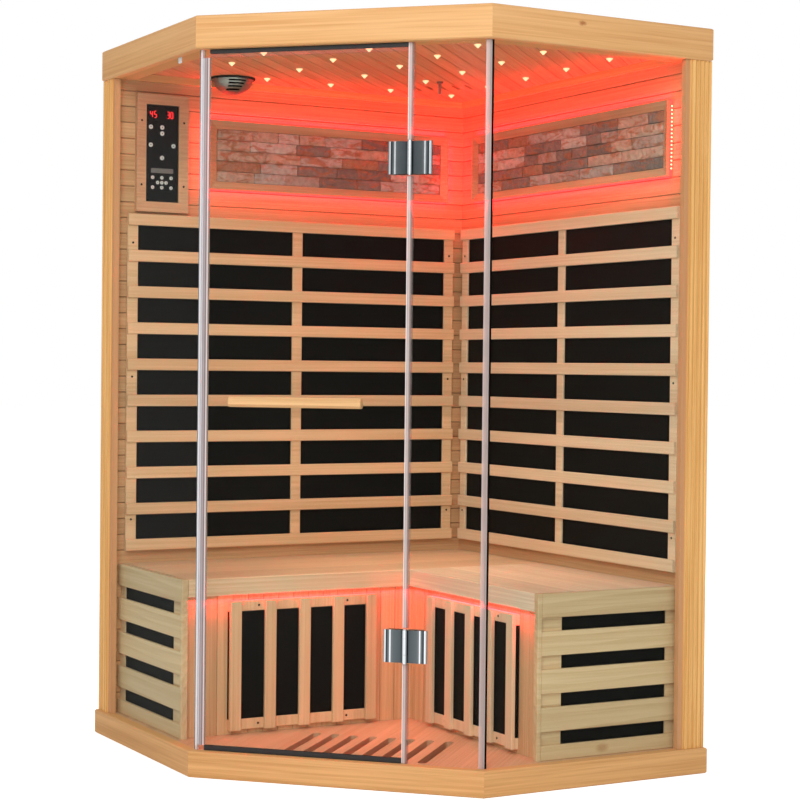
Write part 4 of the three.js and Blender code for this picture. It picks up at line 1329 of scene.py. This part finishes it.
@dataclass
class Studio:
    """Floor, background, soft lamps and the camera."""

    camera_mm: Triple = (-2497.3, -4537.4, 1028.1)
    yaw: float = 0.5080
    pitch: float = -0.0164
    roll: float = 0.0105
    lens_mm: float = 87.22
    sensor_mm: float = 36.0
    ambient: float = 0.42
    floor_m: float = 80.0
    floor_drop: float = 0.0005
    floor_grey: float = 0.9
    floor_lift: float = 0.66
    lamps: tuple[tuple[str, Triple, Triple, float, float], ...] = (
        ("key_lamp", (-2.9, -3.3, 3.4), (0, 0, 0.9), 2.4, 122.0),
        ("fill_lamp", (-2.0, -4.2, 1.2), (0.1, 0.2, 0.9), 2.4, 36.0),
        ("back_lamp", (2.8, 3.4, 3.2), (0, 0, 1.0), 3.0, 80.0),
    )

    def build(self) -> None:
        """Builds the studio."""
        bpy.context.scene.view_settings.view_transform = "Standard"
        self.add_world()
        self.add_floor()
        for lamp in self.lamps:
            self.add_lamp(*lamp)
        self.add_camera()

    def add_world(self) -> None:
        """White to the camera, to reflections and through glass, and a plain soft light for the rest."""
        world = bpy.data.worlds.new("white_room")
        bpy.context.scene.world = world
        world.use_nodes = True
        tree = world.node_tree
        tree.nodes.clear()
        seen = self.add_seen(tree)
        soft = add_node(tree, "Background", {"Color": WHITE, "Strength": self.ambient}, {})
        white = add_node(tree, "Background", {"Color": WHITE, "Strength": 1.0}, {})
        mixed = add_node(tree, "MixShader", {}, {0: seen, 1: soft, 2: white})
        add_node(tree, "OutputWorld", {}, {"Surface": mixed})

    def add_seen(self, tree: Tree) -> Socket:
        """Adds a socket that is 1 for rays that are seen: straight, mirrored or through glass.

        Args:
            tree: the tree that takes the nodes.

        Returns:
            The socket.
        """
        path = add_node(tree, "LightPath", {}, {})
        seen = path.outputs["Is Camera Ray"]
        for ray in ("Is Glossy Ray", "Is Transmission Ray"):
            either = {0: seen, 1: path.outputs[ray]}
            seen = add_node(tree, "Math", {"operation": "MAXIMUM"}, either).outputs[0]
        return seen

    def add_floor(self) -> None:
        """Pale floor that keeps the cabin's shadow."""
        material, tree = new_material("matt_white_floor")
        grey = (self.floor_grey, self.floor_grey, self.floor_grey, 1)
        matt = add_node(tree, "BsdfDiffuse", {"Color": grey}, {})
        lift = {"operation": "MULTIPLY", 1: self.floor_lift}
        bright = add_node(tree, "Math", lift, {0: self.add_seen(tree)})
        glow = add_node(tree, "Emission", {"Color": WHITE}, {"Strength": bright})
        both = add_node(tree, "AddShader", {}, {0: matt, 1: glow})
        add_node(tree, "OutputMaterial", {}, {"Surface": both})
        mesh = bpy.data.meshes.new("studio_floor")
        half = self.floor_m / 2
        plan = ((-half, -half), (half, -half), (half, half), (-half, half))
        mesh.from_pydata([(*corner, -self.floor_drop) for corner in plan], [], [(0, 1, 2, 3)])
        mesh.materials.append(material)
        floor = link(bpy.data.objects.new("studio_floor", mesh))

    def add_lamp(self, name: str, place: Triple, target: Triple, size: float, power: float) -> None:
        """Adds a square soft lamp.

        Args:
            name: the lamp's name.
            place: where it stands, in metres.
            target: the point that it faces.
            size: its side in metres.
            power: its power in watts.
        """
        data = bpy.data.lights.new(name, "AREA")
        data.size = size
        data.energy = power
        lamp = link(bpy.data.objects.new(name, data))
        lamp.location = place
        lamp.rotation_euler = (Vector(target) - Vector(place)).to_track_quat("-Z", "Y").to_euler()

    def add_camera(self) -> None:
        """Adds the camera at the photograph's angle."""
        data = bpy.data.cameras.new("camera")
        data.lens = self.lens_mm
        data.sensor_width = self.sensor_mm
        level = math.cos(self.pitch)
        forward = Vector((math.sin(self.yaw) * level, math.cos(self.yaw) * level, math.sin(self.pitch)))
        right = Vector((math.cos(self.yaw), -math.sin(self.yaw), 0.0))
        up = right.cross(forward)
        turned_right = right * math.cos(self.roll) + up * math.sin(self.roll)
        turned_up = up * math.cos(self.roll) - right * math.sin(self.roll)
        rotation = Matrix((turned_right, turned_up, -forward)).transposed()
        camera = link(bpy.data.objects.new("camera", data))
        camera.matrix_world = Matrix.Translation(Vector(self.camera_mm) * MM) @ rotation.to_4x4()
        bpy.context.scene.camera = camera


def main() -> None:
    """Builds the studio and the sub-assemblies in order."""
    logging.basicConfig(level=logging.INFO, format="%(name)s: %(message)s")
    Studio().build()
    Timber().build()
    GlassAndMetal().build()
    stone = SplitSandstone().make()
    StoneBand(Side.BACK, 3).build(stone)
    StoneBand(Side.RIGHT, 11).build(stone)
    LightStrips().build()
    ControlPanel().build()
    SmallFittings().build()


if __name__ == "__main__":
    main()
